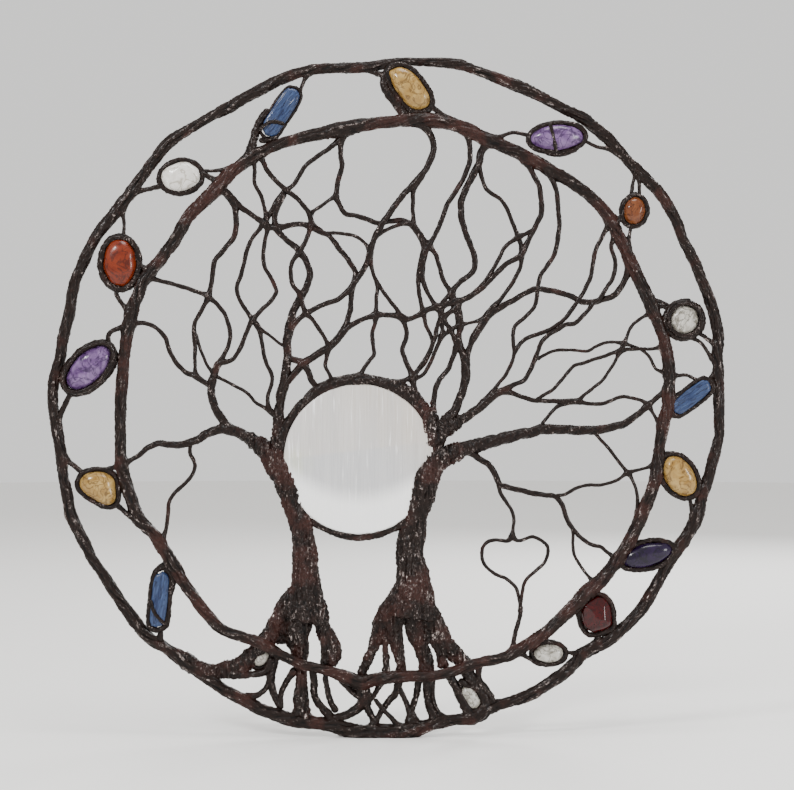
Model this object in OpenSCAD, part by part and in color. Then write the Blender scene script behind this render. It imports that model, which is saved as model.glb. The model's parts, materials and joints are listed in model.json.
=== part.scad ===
// Clay tree of life: two wire hoops coated in clay, two trunks with open roots, a wire canopy,
// a selenite disc for a moon and tumbled stones held in wire settings between the hoops.
// The tree stands upright, +Z up, and its front faces -Y. Millimetres.

/* [Moon] */
// Radius of the selenite disc
disc_r = 37.5; // [34:0.5:38]
// Thickness of the selenite disc
disc_t = 8; // [4:0.5:10]
// Width of the bevel round the disc's edge
disc_bevel = 1.2; // [0.2:0.1:2]

/* [Wires] */
// Thickness of every coated wire, against the thickness as made
wire_scale = 1; // [0.7:0.05:1.2]
// Depth of trunks and roots, against their width
trunk_flat = 0.8; // [0.5:0.05:1]
// Radius of the thin wires that grip the stones
grip_r = 0.8; // [0.5:0.1:1.2]

/* [Stones] */
// Depth of every stone, against the depth as made
stone_depth = 1; // [0.7:0.05:1.2]
// Gap that the settings leave round the stones' outlines
setting_gap = 0.3; // [0:0.1:1]

/* [Layers] */
// How far the inner hoop stands forward of the middle
inner_forward = 1.5; // [0:0.5:3]
// How much further forward it passes in front of the roots
roots_forward = 3; // [2:0.5:4]
// How far the outer hoop stands back
outer_back = 1.5; // [0:0.5:3]

/* [Hidden] */
STONES = [
    "citrine_top", "amethyst_cluster", "carnelian", "quartz_right", "kyanite_right", "citrine_right",
    "amethyst_dark", "garnet", "quartz_low", "root_quartz_right", "root_quartz_left",
    "kyanite_low_left", "citrine_left", "amethyst_light", "red_jasper", "moonstone", "kyanite_top_left"
];

hoop_sides = 8;
trunk_sides = 10;
root_sides = 6;
wire_sides = 5;
foot_z = 1.7;
foot_r = 4.5;
// The outer hoop comes forward over this height down to its foot, which stands under the weight.
foot_rise = 20;
middle_x = 0.5;
clay = "#2e2523";
clay_red = "#5a3a34";

// ---- Routes and tubes -------------------------------------------------------------------------

function mix(a, b, t) = a + (b - a) * t;
function unit(v) = v / norm(v);
function within(v, low, high) = min(max(v, low), high);

// A route of [x, z] points becomes [x, y, z, r] points, with depth and radius running evenly from
// one end to the other, and bow the extra depth half-way along.
function wire(route, y0, y1, r0, r1, bow = 0) =
    let (last = len(route) - 1)
    [for (i = [0:last])
        let (t = i / last)
        [route[i][0], mix(y0, y1, t) + bow * sin(180 * t), route[i][1], wire_scale * mix(r0, r1, t)]];

// A route of [x, z, r] points, with depth running evenly from one end to the other.
function limb(route, y0, y1) =
    let (last = len(route) - 1)
    [for (i = [0:last]) [route[i][0], mix(y0, y1, i / last), route[i][1], wire_scale * route[i][2]]];

function place(p) = [p[0], p[1], p[2]];

// Direction of a route at point i.
function heading(p, i, closed) =
    let (n = len(p))
    closed ? unit(place(p[(i + 1) % n]) - place(p[(i + n - 1) % n]))
           : unit(place(p[min(i + 1, n - 1)]) - place(p[max(i - 1, 0)]));

// The corners of one cross-section: across lies in the tree's plane, and depth runs front to back.
function section(p, i, closed, sides, flat) =
    let (t = heading(p, i, closed),
         across = unit(cross(t, [0, 1, 0])),
         depth = cross(across, t),
         r = p[i][3])
    [for (k = [0:sides - 1])
        let (a = 360 * (k + 0.5) / sides)
        place(p[i]) + r * cos(a) * across + r * flat * sin(a) * depth];

// Corners of a whole tube. An open tube also has a low point on each end.
function tube_points(p, closed, sides, flat) =
    let (n = len(p), tip = 0.5)
    [for (i = [0:n - 1]) each section(p, i, closed, sides, flat),
     if (!closed) place(p[0]) - tip * p[0][3] * heading(p, 0, false),
     if (!closed) place(p[n - 1]) + tip * p[n - 1][3] * heading(p, n - 1, false)];

function tube_faces(n, closed, sides, first) =
    [for (i = [0:n - (closed ? 1 : 2)], k = [0:sides - 1])
        let (j = (i + 1) % n,
             m = (k + 1) % sides,
             a = first + i * sides + k,
             b = first + i * sides + m,
             c = first + j * sides + m,
             d = first + j * sides + k)
        each [[a, b, c], [a, c, d]],
     if (!closed) for (k = [0:sides - 1])
        [first + n * sides, first + (k + 1) % sides, first + k],
     if (!closed) for (k = [0:sides - 1])
        let (end = first + (n - 1) * sides)
        [first + n * sides + 1, end + k, end + (k + 1) % sides]];

// Several tubes as one polyhedron of separate solids, all cut off flat at z = 0.
module tubes(open = [], closed = [], sides = wire_sides, flat = 1) {
    all = concat([for (p = open) [p, false]], [for (p = closed) [p, true]]);
    sizes = [for (t = all) len(t[0]) * sides + (t[1] ? 0 : 2)];
    firsts = [for (i = 0, at = 0; i < len(all); at = at + sizes[i], i = i + 1) at];
    corners = [for (t = all) each tube_points(t[0], t[1], sides, flat)];
    polyhedron(
        [for (c = corners) [c[0] - middle_x, c[1], max(c[2], 0)]],
        [for (i = [0:len(all) - 1]) each tube_faces(len(all[i][0]), all[i][1], sides, firsts[i])],
        convexity = 10
    );
}

// ---- Stones -----------------------------------------------------------------------------------

function oval(x, z, long, short, turn, n = 12) =
    [for (i = [0:n - 1])
        let (a = -360 * i / n, u = long * cos(a), v = short * sin(a))
        [x + u * cos(turn) - v * sin(turn), z + u * sin(turn) + v * cos(turn)]];

// A rounded bar: its middle, half length, half width and turn.
function bar(x, z, long, short, turn) =
    [for (q = [[1, 0.2], [1, -0.3], [0.85, -0.8], [0.4, -1], [-0.4, -1], [-0.85, -0.85],
               [-1, -0.3], [-1, 0.3], [-0.85, 0.85], [-0.4, 1], [0.4, 1], [0.85, 0.8]])
        let (u = long * q[0], v = short * q[1])
        [x + u * cos(turn) - v * sin(turn), z + u * sin(turn) + v * cos(turn)]];

function centre(outline) =
    let (n = len(outline))
    [for (axis = [0, 1]) [for (p = outline) p[axis]] * [for (p = outline) 1 / n]];

// An outline moved outwards by gap.
function grown(outline, gap) =
    let (c = centre(outline))
    [for (p = outline) p + gap * unit(p - c)];

// Each stone is an outline, its middle depth and half its depth.
stone_shapes = [
    [[[6, 335], [11, 334], [16, 330], [20, 325], [22.5, 320], [22.5, 315.5], [18, 313], [13, 314],
      [8, 319], [4, 325], [2, 330], [2, 333]], -1, 5],
    [oval(86, 299.5, 13.5, 6.5, 4), -1, 5],
    [oval(124.5, 263, 7, 5.5, 80), -1, 4.5],
    [oval(149.5, 208.5, 7.5, 7.5, 0), -0.5, 4.5],
    [bar(153, 170, 11.5, 4, 38), -0.5, 3],
    [oval(147, 130.5, 11.5, 7.5, -56), -0.5, 5],
    [oval(131, 91, 13, 6, 15), -0.5, 4.5],
    [[[99, 68], [103, 70.5], [109, 70], [112.5, 65.5], [113.5, 60], [113, 55.5], [108, 53],
      [103, 52], [100, 54], [98, 59], [97.5, 64]], -0.5, 6],
    [oval(81.7, 42, 7.7, 4.8, 0), -0.5, 3.5],
    [bar(43, 20, 6.5, 3.5, -57), 1, 3.5],
    [oval(-62, 40, 5.5, 4, 50), 2.5, 4.5],
    [bar(-112.5, 69, 14.5, 4.2, 84), -0.5, 3],
    [[[-151, 131], [-146, 133], [-140, 132.5], [-135.5, 130], [-134, 123], [-135, 117], [-140, 116],
      [-146, 119], [-151, 123], [-153, 127]], -0.5, 5.5],
    [oval(-148, 184.5, 14.5, 8, 45), -0.5, 5],
    [oval(-132.5, 237, 12, 8.5, 90), -0.5, 5],
    [oval(-102, 280, 10, 7.5, 8), -0.5, 4.5],
    [bar(-52, 312, 14, 4.8, 57), -0.5, 3.5]
];

stone_colours = ["#c9a860", "#8d7fa3", "#c4633a", "#cfd0cc", "#3f6ea6", "#b98f47", "#4d4262",
                 "#4a0d14", "#c9cac4", "#b9bab2", "#b5b8ab", "#35679f", "#c8a04c", "#a693b8",
                 "#8c3f35", "#e6dccb", "#2f4f86"];

// Rings of the outline, shrunk towards a low dome at the front and at the back.
module stone(index) {
    outline = stone_shapes[index][0];
    y = stone_shapes[index][1];
    half = stone_shapes[index][2] * stone_depth;
    c = centre(outline);
    n = len(outline);
    levels = [[-0.9, 0.55], [-0.45, 0.93], [0.45, 0.93], [0.9, 0.55]];
    rings = [for (s = levels) each
        [for (p = outline) let (q = c + s[1] * (p - c) / 0.93) [q[0] - middle_x, y + s[0] * half, q[1]]]];
    tips = [[c[0] - middle_x, y - half, c[1]], [c[0] - middle_x, y + half, c[1]]];
    walls = [for (i = [0:len(levels) - 2], k = [0:n - 1])
        let (a = i * n + k, b = i * n + (k + 1) % n)
        each [[a, b + n, b], [a, a + n, b + n]]];
    front = [for (k = [0:n - 1]) [len(rings), k, (k + 1) % n]];
    back_ring = (len(levels) - 1) * n;
    back = [for (k = [0:n - 1]) [len(rings) + 1, back_ring + (k + 1) % n, back_ring + k]];
    color(stone_colours[index])
        polyhedron(concat(rings, tips), concat(walls, front, back), convexity = 2);
}

// The closed wire round a stone's edge.
function bezel(index, r, forward = 0) =
    let (s = stone_shapes[index], ring = grown(s[0], setting_gap + r))
    [for (p = ring) [p[0], s[1] - forward, p[1], wire_scale * r]];

// A short wire of the grip's own thickness.
function grip(route, y0, y1) = wire(route, y0, y1, grip_r, grip_r);

// ---- Hoops ------------------------------------------------------------------------------------

outer_route = [
    [5, 338, 2], [17, 338, 2], [35, 337, 2.6], [47, 333, 2.2], [66, 326, 3], [81, 319, 2.6],
    [90, 314, 2.6], [100, 309, 2.8], [111, 300, 3], [120, 290, 2.5], [130, 280, 2.7], [139, 270, 2.8],
    [145, 260, 2.6], [149, 250, 2.6], [154, 240, 2.8], [158, 230, 2.6], [162, 220, 2.7],
    [165, 210, 2.9], [167, 200, 2.7], [166.5, 190, 2.5], [167, 180, 2.7], [167, 170, 2.8],
    [167.5, 160, 2.6], [167, 150, 2.5], [164.5, 140, 2.8], [162, 130, 2.7], [159, 120, 2.7],
    [156, 110, 3.2], [151, 100, 2.9], [144, 90, 2.8], [138, 80, 2.8], [130, 66, 3], [120, 55, 2.8],
    [110, 47, 3], [100, 42, 3], [91, 33, 3.2], [83, 27, 3], [73, 21, 3], [61, 17, 2.6], [52, 14, 3],
    [45, 10, 3], [32, 8, 2.6], [23, 6, 3], [13, foot_z, foot_r], [5, foot_z, foot_r],
    [-5, foot_z, foot_r], [-14, foot_z, foot_r], [-28, 6, 3], [-44, 8, 3.4], [-58, 12, 3],
    [-70, 18, 2.8], [-80, 23, 2.8], [-90, 30, 2.8], [-100, 37, 2.6], [-108, 43, 2.6], [-119, 50, 2.8],
    [-127, 60, 3], [-134, 70, 2.8], [-140, 80, 2.6], [-147, 90, 2.6], [-152, 100, 2.8], [-157, 110, 3],
    [-159, 120, 2.8], [-161, 130, 2.6], [-162, 140, 2.8], [-164, 150, 2.6], [-165.5, 160, 2.4],
    [-166.5, 170, 2.6], [-165.5, 180, 2.6], [-162.5, 190, 2.6], [-161, 200, 2.8], [-158.5, 210, 2.7],
    [-157, 220, 2.7], [-154.5, 230, 2.6], [-150, 240, 2.8], [-145, 250, 2.8], [-137, 260, 3],
    [-129, 270, 2.8], [-122, 280, 2.6], [-115, 290, 2.8], [-106, 299, 2.8], [-90, 309, 2.2],
    [-80, 314, 2.8], [-71, 319, 2.8], [-52, 329, 2.8], [-36, 334, 2.4], [-14, 335, 2.6]
];

inner_route = [
    [0, 307, 2.8], [10, 308, 3], [20, 308, 3.4], [30, 307, 3.2], [40, 304, 3.2], [50, 299, 3.2],
    [60, 295, 3], [70, 290, 3.2], [80, 285, 3], [90, 279, 3], [100, 272, 2.8], [110, 262, 3],
    [117, 250, 3], [122, 240, 2.8], [126, 230, 3], [131, 220, 3.2], [135, 210, 3], [139, 200, 2.8],
    [141, 190, 3], [142, 180, 2.8], [142, 170, 3], [140, 160, 3], [138, 150, 2.8], [136.5, 140, 2.8],
    [135, 130, 3], [132, 120, 3], [128, 110, 3], [123, 100, 3.2], [117, 90, 3], [110, 81, 3.2],
    [100, 72, 3.6], [90, 62, 3.2], [80, 53, 3], [68, 44, 3], [58, 40, 2.6], [48, 38, 2.4],
    [42, 36, 2.6], [33, 33, 2.4], [23, 31, 2.4], [10, 31, 2.8], [-2, 30, 3], [-12, 28, 3.4],
    [-20, 31, 3], [-30, 34, 2.4], [-42, 37, 2.4], [-52, 42, 2.6], [-60, 47, 2.8], [-70, 50, 2.6],
    [-80, 54, 2.6], [-87, 60, 2.8], [-95, 70, 2.8], [-102, 80, 3], [-108, 90, 3], [-114, 100, 3],
    [-119, 105, 3], [-123, 110, 3], [-127, 120, 3], [-130, 130, 3], [-132, 140, 2.8],
    [-132, 150, 2.8], [-132, 160, 2.8], [-132, 170, 2.8], [-131, 180, 3], [-130, 190, 2.8],
    [-129, 200, 3], [-127, 210, 3.2], [-124, 220, 3], [-119, 230, 3], [-111, 240, 3], [-104, 250, 3],
    [-98, 260, 3.2], [-88, 270, 3.4], [-78, 281, 3.2], [-70, 288, 3], [-60, 293, 2.6],
    [-50, 297, 2.6], [-40, 300, 2.8], [-30, 302, 3.2], [-20, 304, 3.6], [-10, 306, 3.2]
];

// The inner hoop leans forward between these heights, to pass in front of the roots.
roots_top = 100;
roots_bottom = 60;

// Each hoop is laid up from this many lengths. A length starts and the one before it ends at these
// shares of the same step in the route, so that they lap.
hoop_lengths = 12;
lap_start = 0.1;
lap_end = 0.3;

function outer_depth(z) = outer_back * within((z - foot_z) / foot_rise, 0, 1);

function inner_depth(z) =
    -inner_forward - (roots_forward - inner_forward / 3)
        * within((roots_top - z) / (roots_top - roots_bottom), 0, 1);

// A closed route as open lengths of wire bundle, each lapped a little way over the next.
function lapped(route) =
    let (n = len(route))
    [for (k = [0:hoop_lengths - 1])
        let (first = floor(k * n / hoop_lengths), last = floor((k + 1) * n / hoop_lengths))
        [mix(route[first], route[first + 1], lap_start),
         for (i = [first + 1:last]) route[i % n],
         mix(route[last % n], route[(last + 1) % n], lap_end)]];

module outer_hoop() {
    color(clay)
        tubes(lapped([for (p = outer_route) [p[0], outer_depth(p[1]), p[1], wire_scale * p[2]]]),
              sides = hoop_sides);
}

module inner_hoop() {
    color(clay_red)
        tubes(lapped([for (p = inner_route) [p[0], inner_depth(p[1]), p[1], wire_scale * p[2]]]),
              sides = hoop_sides);
}

// ---- Trunks and roots -------------------------------------------------------------------------

module left_trunk() {
    color(clay)
        tubes([
            limb([[-57, 144, 5.5], [-54, 136, 6], [-49.5, 127, 5.6], [-46, 118, 5.4], [-43, 109, 5.4],
                  [-41, 100, 5.6], [-40, 90, 6.2], [-39.5, 80, 7], [-39, 71, 8], [-39.5, 65, 9.6],
                  [-41, 59, 10]], 0, -2)
        ], sides = trunk_sides, flat = trunk_flat);
}

module right_trunk() {
    color(clay)
        tubes([
            limb([[26, 154, 4.5], [25, 146, 4.4], [23.5, 140, 5.5], [21.5, 133, 7], [18.5, 122, 6.8],
                  [15.5, 111, 5.8], [13.5, 101, 6.4], [12.5, 92, 6.8], [13.5, 82, 8], [14.5, 73, 9.6],
                  [14, 66, 11.8], [13, 60, 12.5]], 0, 0)
        ], sides = trunk_sides, flat = trunk_flat);
}

module left_roots() {
    color(clay_red)
        tubes([
            limb([[-49, 66, 5], [-54, 57, 4.6], [-59, 49, 4.4], [-65, 42, 4], [-74, 35, 4], [-84, 33, 3.6],
                  [-93, 34, 3.2], [-100, 38, 3], [-106, 42, 2.4]], 1, 3),
            limb([[-42, 63, 6], [-44, 52, 6.5], [-42.5, 43, 4.5], [-42, 34, 2.4], [-42, 24, 2.8],
                  [-42, 16, 3.6], [-41, 9, 4]], 1, 2),
            limb([[-33, 63, 4.4], [-31, 55, 3.6], [-28, 48, 4.4], [-27, 42, 5.2], [-28, 36, 4.2]], 1, 1.5),
            limb([[-54, 50, 3.2], [-49, 50, 3.4], [-45, 47, 3]], 3.5, 3.5)
        ], sides = root_sides, flat = trunk_flat);
}

module right_roots() {
    color(clay_red)
        tubes([
            limb([[4, 64, 6], [-1, 57, 5], [-4, 49, 3.2], [-7, 42, 2.6], [-10, 35, 2.6],
                  [-12, 31, 2.4]], 1, 1),
            limb([[-1, 52, 2.2], [0, 46, 1.5], [0.5, 38, 1.4], [0.5, 32, 2.2]], 1, 1),
            limb([[5, 60, 5], [5, 50, 4], [6.5, 43, 3], [8, 36, 2.6], [8, 30, 2.4]], 0.5, 1.5),
            limb([[15, 60, 6], [15.5, 51, 4.6], [18.5, 43, 3.8], [20.5, 36, 4], [21, 30, 3]], 2, 2),
            limb([[21, 63, 5.6], [26, 54, 5], [31, 46, 4.4], [37, 39, 3.6], [43, 36, 2.4]], 0.5, 1),
            limb([[17, 52, 2.4], [23, 48, 1.8], [27, 43, 1.8], [28.5, 35, 2.8]], 0, 0.5)
        ], sides = root_sides, flat = trunk_flat);
}

// The open lattice of clay strands between the hoops, below the trunks.
module root_strands() {
    color(clay)
        tubes([
            wire([[-57, 42], [-57, 34], [-58.5, 26], [-63, 21], [-70, 20]], 2, 2, 1.5, 0.9),
            wire([[-55, 42], [-57, 28], [-55, 20], [-52, 15]], 2, 1.5, 1.8, 1.2),
            wire([[-45, 34], [-49, 28], [-52, 21], [-52.5, 14]], 1, 1.5, 1.3, 1.2),
            wire([[-36, 35], [-35.5, 27], [-35, 20], [-32, 15], [-28, 11], [-25, 7]], 1, 1, 1.5, 1.6),
            wire([[-30, 32], [-29, 24], [-27, 17], [-24, 12]], 0.5, 1.5, 1.1, 1.4),
            wire([[-23, 30], [-18, 24], [-13, 20], [-10, 21]], -1, 0, 1.2, 1.2),
            wire([[-14, 26], [-11, 21], [-12, 16], [-17, 12], [-22, 10], [-28, 9]], 0, 1, 2.8, 1.3),
            wire([[-11, 25], [-9, 20], [-9, 15], [-6, 9], [-5, 5]], 0, 1.5, 2.6, 1),
            wire([[-9, 18], [-6, 20], [-3, 25], [-1, 30]], 0, -1.5, 0.9, 1.2),
            wire([[-5, 19], [-1, 14], [3, 10], [7, 6], [12, 5], [18, 5.5]], -1, -2, 0.9, 0.9),
            wire([[7, 31], [6, 23], [2, 18], [-1, 14], [-4, 9], [-7, 5]], 0.5, 1, 1.7, 1),
            wire([[7, 25], [10, 18], [12, 13], [13, 8]], 0, 1, 1.1, 1.2),
            wire([[17, 31], [16, 22], [14, 15], [12, 9]], 1, 1, 1.5, 1.2),
            wire([[13.5, 14], [13.5, 10], [13.5, 5]], 1, 1, 1, 4),
            wire([[21.5, 32], [21.5, 24], [22, 17], [25, 8]], 1.5, 1, 2.2, 1.6),
            wire([[24, 30], [24, 20], [26, 13], [30, 8]], 2, 1.5, 1, 1),
            wire([[47, 37], [47, 29], [50, 25], [54, 19]], -1, 1, 1.1, 1.2),
            wire([[42, 34], [48, 26], [52, 21], [54, 16]], 0, 1, 1, 1.2)
        ], sides = wire_sides);
}

// ---- Moon -------------------------------------------------------------------------------------

moon_x = -13;
moon_z = 139;

// A strand that follows the disc's edge from one angle to another, counted from +X towards +Z.
function moon_arc(from, to, gap, y, r, steps) =
    [for (i = [0:steps])
        let (a = mix(from, to, i / steps), edge = disc_r + gap, thin = 0.7 + 0.3 * sin(180 * i / steps))
        [moon_x + edge * cos(a), y, moon_z + edge * sin(a), wire_scale * r * thin]];

module moon_ring() {
    color(clay)
        tubes([
            moon_arc(28, 174, 1.8, -1.5, 2.3, 17),
            moon_arc(232, 308, 1, -1.5, 1.9, 9),
            moon_arc(60, 132, 3.5, 1.5, 1.4, 8)
        ], sides = root_sides);
}

module selenite_disc() {
    half = disc_t / 2;
    color("#efe2c4")
        translate([moon_x - middle_x, 0, moon_z])
            rotate([90, 0, 0])
                rotate_extrude($fn = 96)
                    polygon([[0, -half], [disc_r - disc_bevel, -half], [disc_r, disc_bevel - half],
                             [disc_r, half - disc_bevel], [disc_r - disc_bevel, half], [0, half]]);
}

// ---- Canopy -----------------------------------------------------------------------------------

module left_low_limb() {
    color(clay)
        tubes([
            wire([[-58, 142], [-66, 148], [-71, 151], [-78, 154], [-84, 153.5], [-90, 151], [-95, 148],
                  [-104, 146], [-113, 147], [-118, 145], [-123, 141], [-131, 136]], 0, -1, 3.2, 1.1),
            wire([[-97, 147], [-97.5, 142], [-95.5, 138], [-95, 135], [-97, 130], [-102, 125], [-106, 121],
                  [-108, 117], [-108.5, 110], [-109.5, 103], [-112, 96]], -0.5, -1.5, 1, 1)
        ]);
}

module left_bough() {
    color(clay)
        tubes([
            wire([[-78, 153], [-81, 158], [-84, 163], [-86, 168], [-87, 174], [-86, 180]], 0, 0, 2.3, 2),
            wire([[-87, 175], [-94, 180], [-99, 182], [-103, 185.5], [-106, 190], [-108.5, 196],
                  [-110, 200], [-113, 203.5], [-117, 206], [-121, 207], [-128, 206]], 0, -1.5, 1.3, 1.1),
            wire([[-86, 179], [-83, 187], [-80, 192], [-78, 197], [-77.5, 202], [-79, 209], [-82, 214],
                  [-88, 220], [-95, 223], [-104, 226], [-112, 228], [-120, 230]], 1, -1, 1.1, 1.1),
            wire([[-95, 202], [-92.5, 194], [-89, 186], [-85, 181], [-80, 178], [-74, 175], [-69, 172],
                  [-65, 167.5], [-61, 165], [-54, 161]], 1.5, 0.5, 0.8, 0.9)
        ]);
}

module left_outer_twigs() {
    color(clay)
        tubes([
            wire([[-86.5, 177], [-84.5, 185], [-82, 187], [-78, 188], [-75, 190], [-72, 195],
                  [-69.5, 202], [-66.5, 208], [-62, 213], [-57, 218], [-55, 221], [-54.5, 224],
                  [-57, 230], [-60, 235], [-61, 240], [-60.5, 246], [-59, 253], [-59.5, 260],
                  [-61.5, 269], [-65, 277], [-65, 283], [-65.5, 290]], 0, -1, 1.2, 1),
            wire([[-94, 180], [-95, 186], [-95, 193], [-95.5, 205], [-93, 211], [-89, 218], [-87, 225],
                  [-86, 232], [-85, 238], [-80, 244], [-76, 249], [-74.5, 254], [-74.5, 262],
                  [-77, 269], [-81, 273], [-85, 275]], -0.5, -1, 0.9, 1.7)
        ]);
}

module left_leader() {
    color(clay)
        tubes([
            wire([[-54, 142], [-53, 152], [-53, 160], [-52.5, 167], [-51, 175], [-49.5, 184], [-49, 190],
                  [-49, 196], [-48.5, 203], [-47.5, 208], [-45, 215], [-42, 220], [-38, 228],
                  [-37.5, 233], [-40, 239], [-44, 244], [-49, 248.5], [-53, 252], [-54.5, 256],
                  [-55, 260], [-53, 266], [-50, 272]], 0, 0, 2.6, 1.2),
            wire([[-49, 190], [-46, 189], [-42, 187.5], [-39, 184], [-37, 179], [-34, 175]], 0, -1, 1.6, 1.6),
            wire([[-53, 170], [-49, 177], [-46, 181], [-42, 186], [-38, 189]], -1, -1, 1.2, 1.2),
            wire([[-66, 208], [-63, 204.5], [-58, 201], [-53, 197], [-49, 195]], 0, 0.5, 0.7, 0.8)
        ]);
}

module crown_left_twigs() {
    color(clay)
        tubes([
            wire([[-19, 302], [-27, 295], [-34, 290], [-40, 285], [-43, 280], [-46, 276], [-50, 273],
                  [-54, 268], [-58, 261], [-62, 255], [-66, 250], [-69, 244], [-70.5, 237], [-72, 231],
                  [-74, 226], [-73.5, 221], [-71, 216], [-67.5, 210.5], [-64, 206], [-62, 200],
                  [-60, 189], [-57, 182], [-56.5, 177], [-58.5, 171], [-58.5, 167], [-57, 163],
                  [-53, 159]], -1, 0, 1.2, 1, 1.5),
            wire([[-62, 290], [-58, 282], [-53, 276.5], [-46, 271], [-42, 267], [-38.5, 262.5], [-37, 258],
                  [-38, 252], [-40, 247], [-43, 242], [-46.5, 237], [-47, 231], [-46, 226], [-42.5, 221],
                  [-40, 213], [-36, 208.5], [-33, 204], [-30, 199], [-28, 195], [-29, 190], [-30, 186],
                  [-28, 182], [-26, 177]], -1, -1, 1.3, 1, -1)
        ]);
}

module crossing_twigs() {
    color(clay)
        tubes([
            wire([[-84, 276], [-77, 270], [-73, 266], [-68, 262], [-62, 258], [-58, 255], [-52, 255],
                  [-46, 256], [-41, 256.5], [-37, 255], [-32, 252.5], [-28, 250.5], [-25, 247],
                  [-22, 243], [-18, 238], [-15, 233], [-15, 229], [-16.5, 224], [-17, 218],
                  [-17.5, 213], [-19.5, 207], [-22, 202], [-26, 197], [-30, 194], [-36, 190],
                  [-41, 187], [-44, 183], [-50, 176], [-53, 170]], -1, 0.5, 1.4, 1.4, 1),
            wire([[-30, 252], [-20, 251.5], [-14, 250], [-9.5, 246], [-7, 242]], 0.5, 0, 0.9, 0.9),
            wire([[-24, 271], [-27, 269], [-31, 266], [-35, 263.5], [-37, 261], [-36, 257], [-31, 253]],
                 -1, 0.5, 0.9, 0.9),
            wire([[-4, 251], [4, 255], [10, 256.5], [14, 256]], -0.5, -1, 0.9, 0.9)
        ]);
}

module crown_centre_twigs() {
    color(clay)
        tubes([
            wire([[-49, 199], [-47, 204], [-43, 209], [-38, 212.5], [-31, 216], [-24, 218.5], [-19, 222.5],
                  [-16, 226], [-13, 230], [-10, 235], [-7, 244], [-5, 250], [-2, 256], [1, 260],
                  [5, 265.5], [10, 272], [15, 277], [20, 283], [23.5, 290], [24.5, 296], [22, 302],
                  [17, 307]], 0, -1.5, 1.2, 1.7, -1),
            wire([[-20, 303], [-22, 297], [-22, 290], [-21.5, 285], [-23, 280], [-24, 274], [-24, 269],
                  [-20, 262], [-14, 260.5], [-8, 258.5], [-3, 257], [2, 258], [8, 258.5], [12, 257],
                  [16, 253], [19, 249], [22, 246], [25, 242], [27, 236], [29, 229], [32, 224],
                  [34, 220], [36, 216], [37.5, 212], [38, 206], [37, 201], [36, 194]], -1, 0, 1.4, 1.1, 1.5)
        ]);
}

module moon_twigs() {
    color(clay)
        tubes([
            wire([[-7.5, 245], [-6.5, 234], [-4, 226], [-4.5, 219], [-4.5, 213], [-5, 207], [-6.5, 201],
                  [-5.5, 192], [-7, 189], [-10, 185], [-14, 178]], 0, -1, 1, 1.1),
            wire([[-5, 230], [-3, 226], [1, 220], [5, 215], [8, 210.5], [10, 206], [11, 203], [10.5, 199],
                  [9, 195], [9, 192], [11, 187], [13, 182], [14, 178], [15, 172], [18, 166]],
                 0, -1, 1, 1.4)
        ]);
}

module arch_bough() {
    color(clay)
        tubes([
            wire([[-42, 186], [-36, 190], [-30, 193.5], [-25, 197], [-22, 201], [-18, 205], [-12, 208.5],
                  [-5, 211], [2, 211], [8, 210], [12, 209], [16, 210.5], [20, 213], [26, 215],
                  [31, 216.5], [36, 218], [42, 220], [48, 224], [52, 228], [56, 232], [60, 236],
                  [65, 239], [68, 241], [71, 247], [74, 253], [76, 257], [78, 262], [78, 268],
                  [77, 275], [74, 281], [70, 288]], -1, -1.5, 1.3, 1.4, 1),
            wire([[36, 218], [44, 222], [50, 228], [54, 234], [57, 239], [60, 244.5], [65, 249],
                  [70, 251.5], [75, 254]], 0.5, -1, 1, 1.1)
        ]);
}

module inner_right_twigs() {
    color(clay)
        tubes([
            wire([[38, 217], [32, 212], [28, 209], [26, 205], [24.5, 199], [22, 192], [18, 186], [15, 181],
                  [12, 179], [6, 177]], 0, -1, 1.2, 1.1),
            wire([[34, 222], [29.5, 218], [28, 209], [28.5, 203], [28, 200], [26, 195], [23.5, 189],
                  [21, 184], [18, 180.5], [12, 178]], 1, 0, 1, 1),
            wire([[18, 280], [15, 275], [14, 270], [14, 262], [15, 255], [18, 250], [19, 246], [19, 242],
                  [17.5, 236], [16.5, 229], [17, 222], [18, 217], [19.5, 211], [20.5, 206], [23, 200],
                  [23.5, 196], [22, 191], [19, 186], [14, 180]], -1, 0, 1.1, 1, 1.5)
        ]);
}

module crown_right_twigs() {
    color(clay)
        tubes([
            wire([[40, 304], [42, 297], [42.5, 290], [41.5, 285], [39, 279], [35, 272], [31, 266],
                  [28, 258], [25, 251], [22, 246], [20, 241], [19, 235], [19, 229], [21, 223],
                  [24, 217.5], [27, 213], [30, 208], [33, 203], [36, 196]], -1.5, 0, 1.4, 1, 1),
            wire([[52, 298], [48.5, 293], [47, 287], [44, 281], [41, 275], [38.5, 269], [38, 263],
                  [39, 256], [41, 250], [43.5, 244], [45, 238], [44.5, 234], [42, 230.5], [38, 228],
                  [35, 224.5], [33.5, 221], [34.5, 216], [36, 211], [37.5, 204]], -1.5, 1, 2, 1.1),
            wire([[47, 287], [48, 281], [50, 275], [54, 271.5], [58, 268.5], [61, 264], [63.5, 258],
                  [66, 252], [68, 246], [68.5, 241], [68, 236], [66, 231], [63, 226], [60, 221.5],
                  [57, 218], [53, 214.5], [49, 208], [44, 199]], -1, 0.5, 1.1, 1, 1)
        ]);
}

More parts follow.
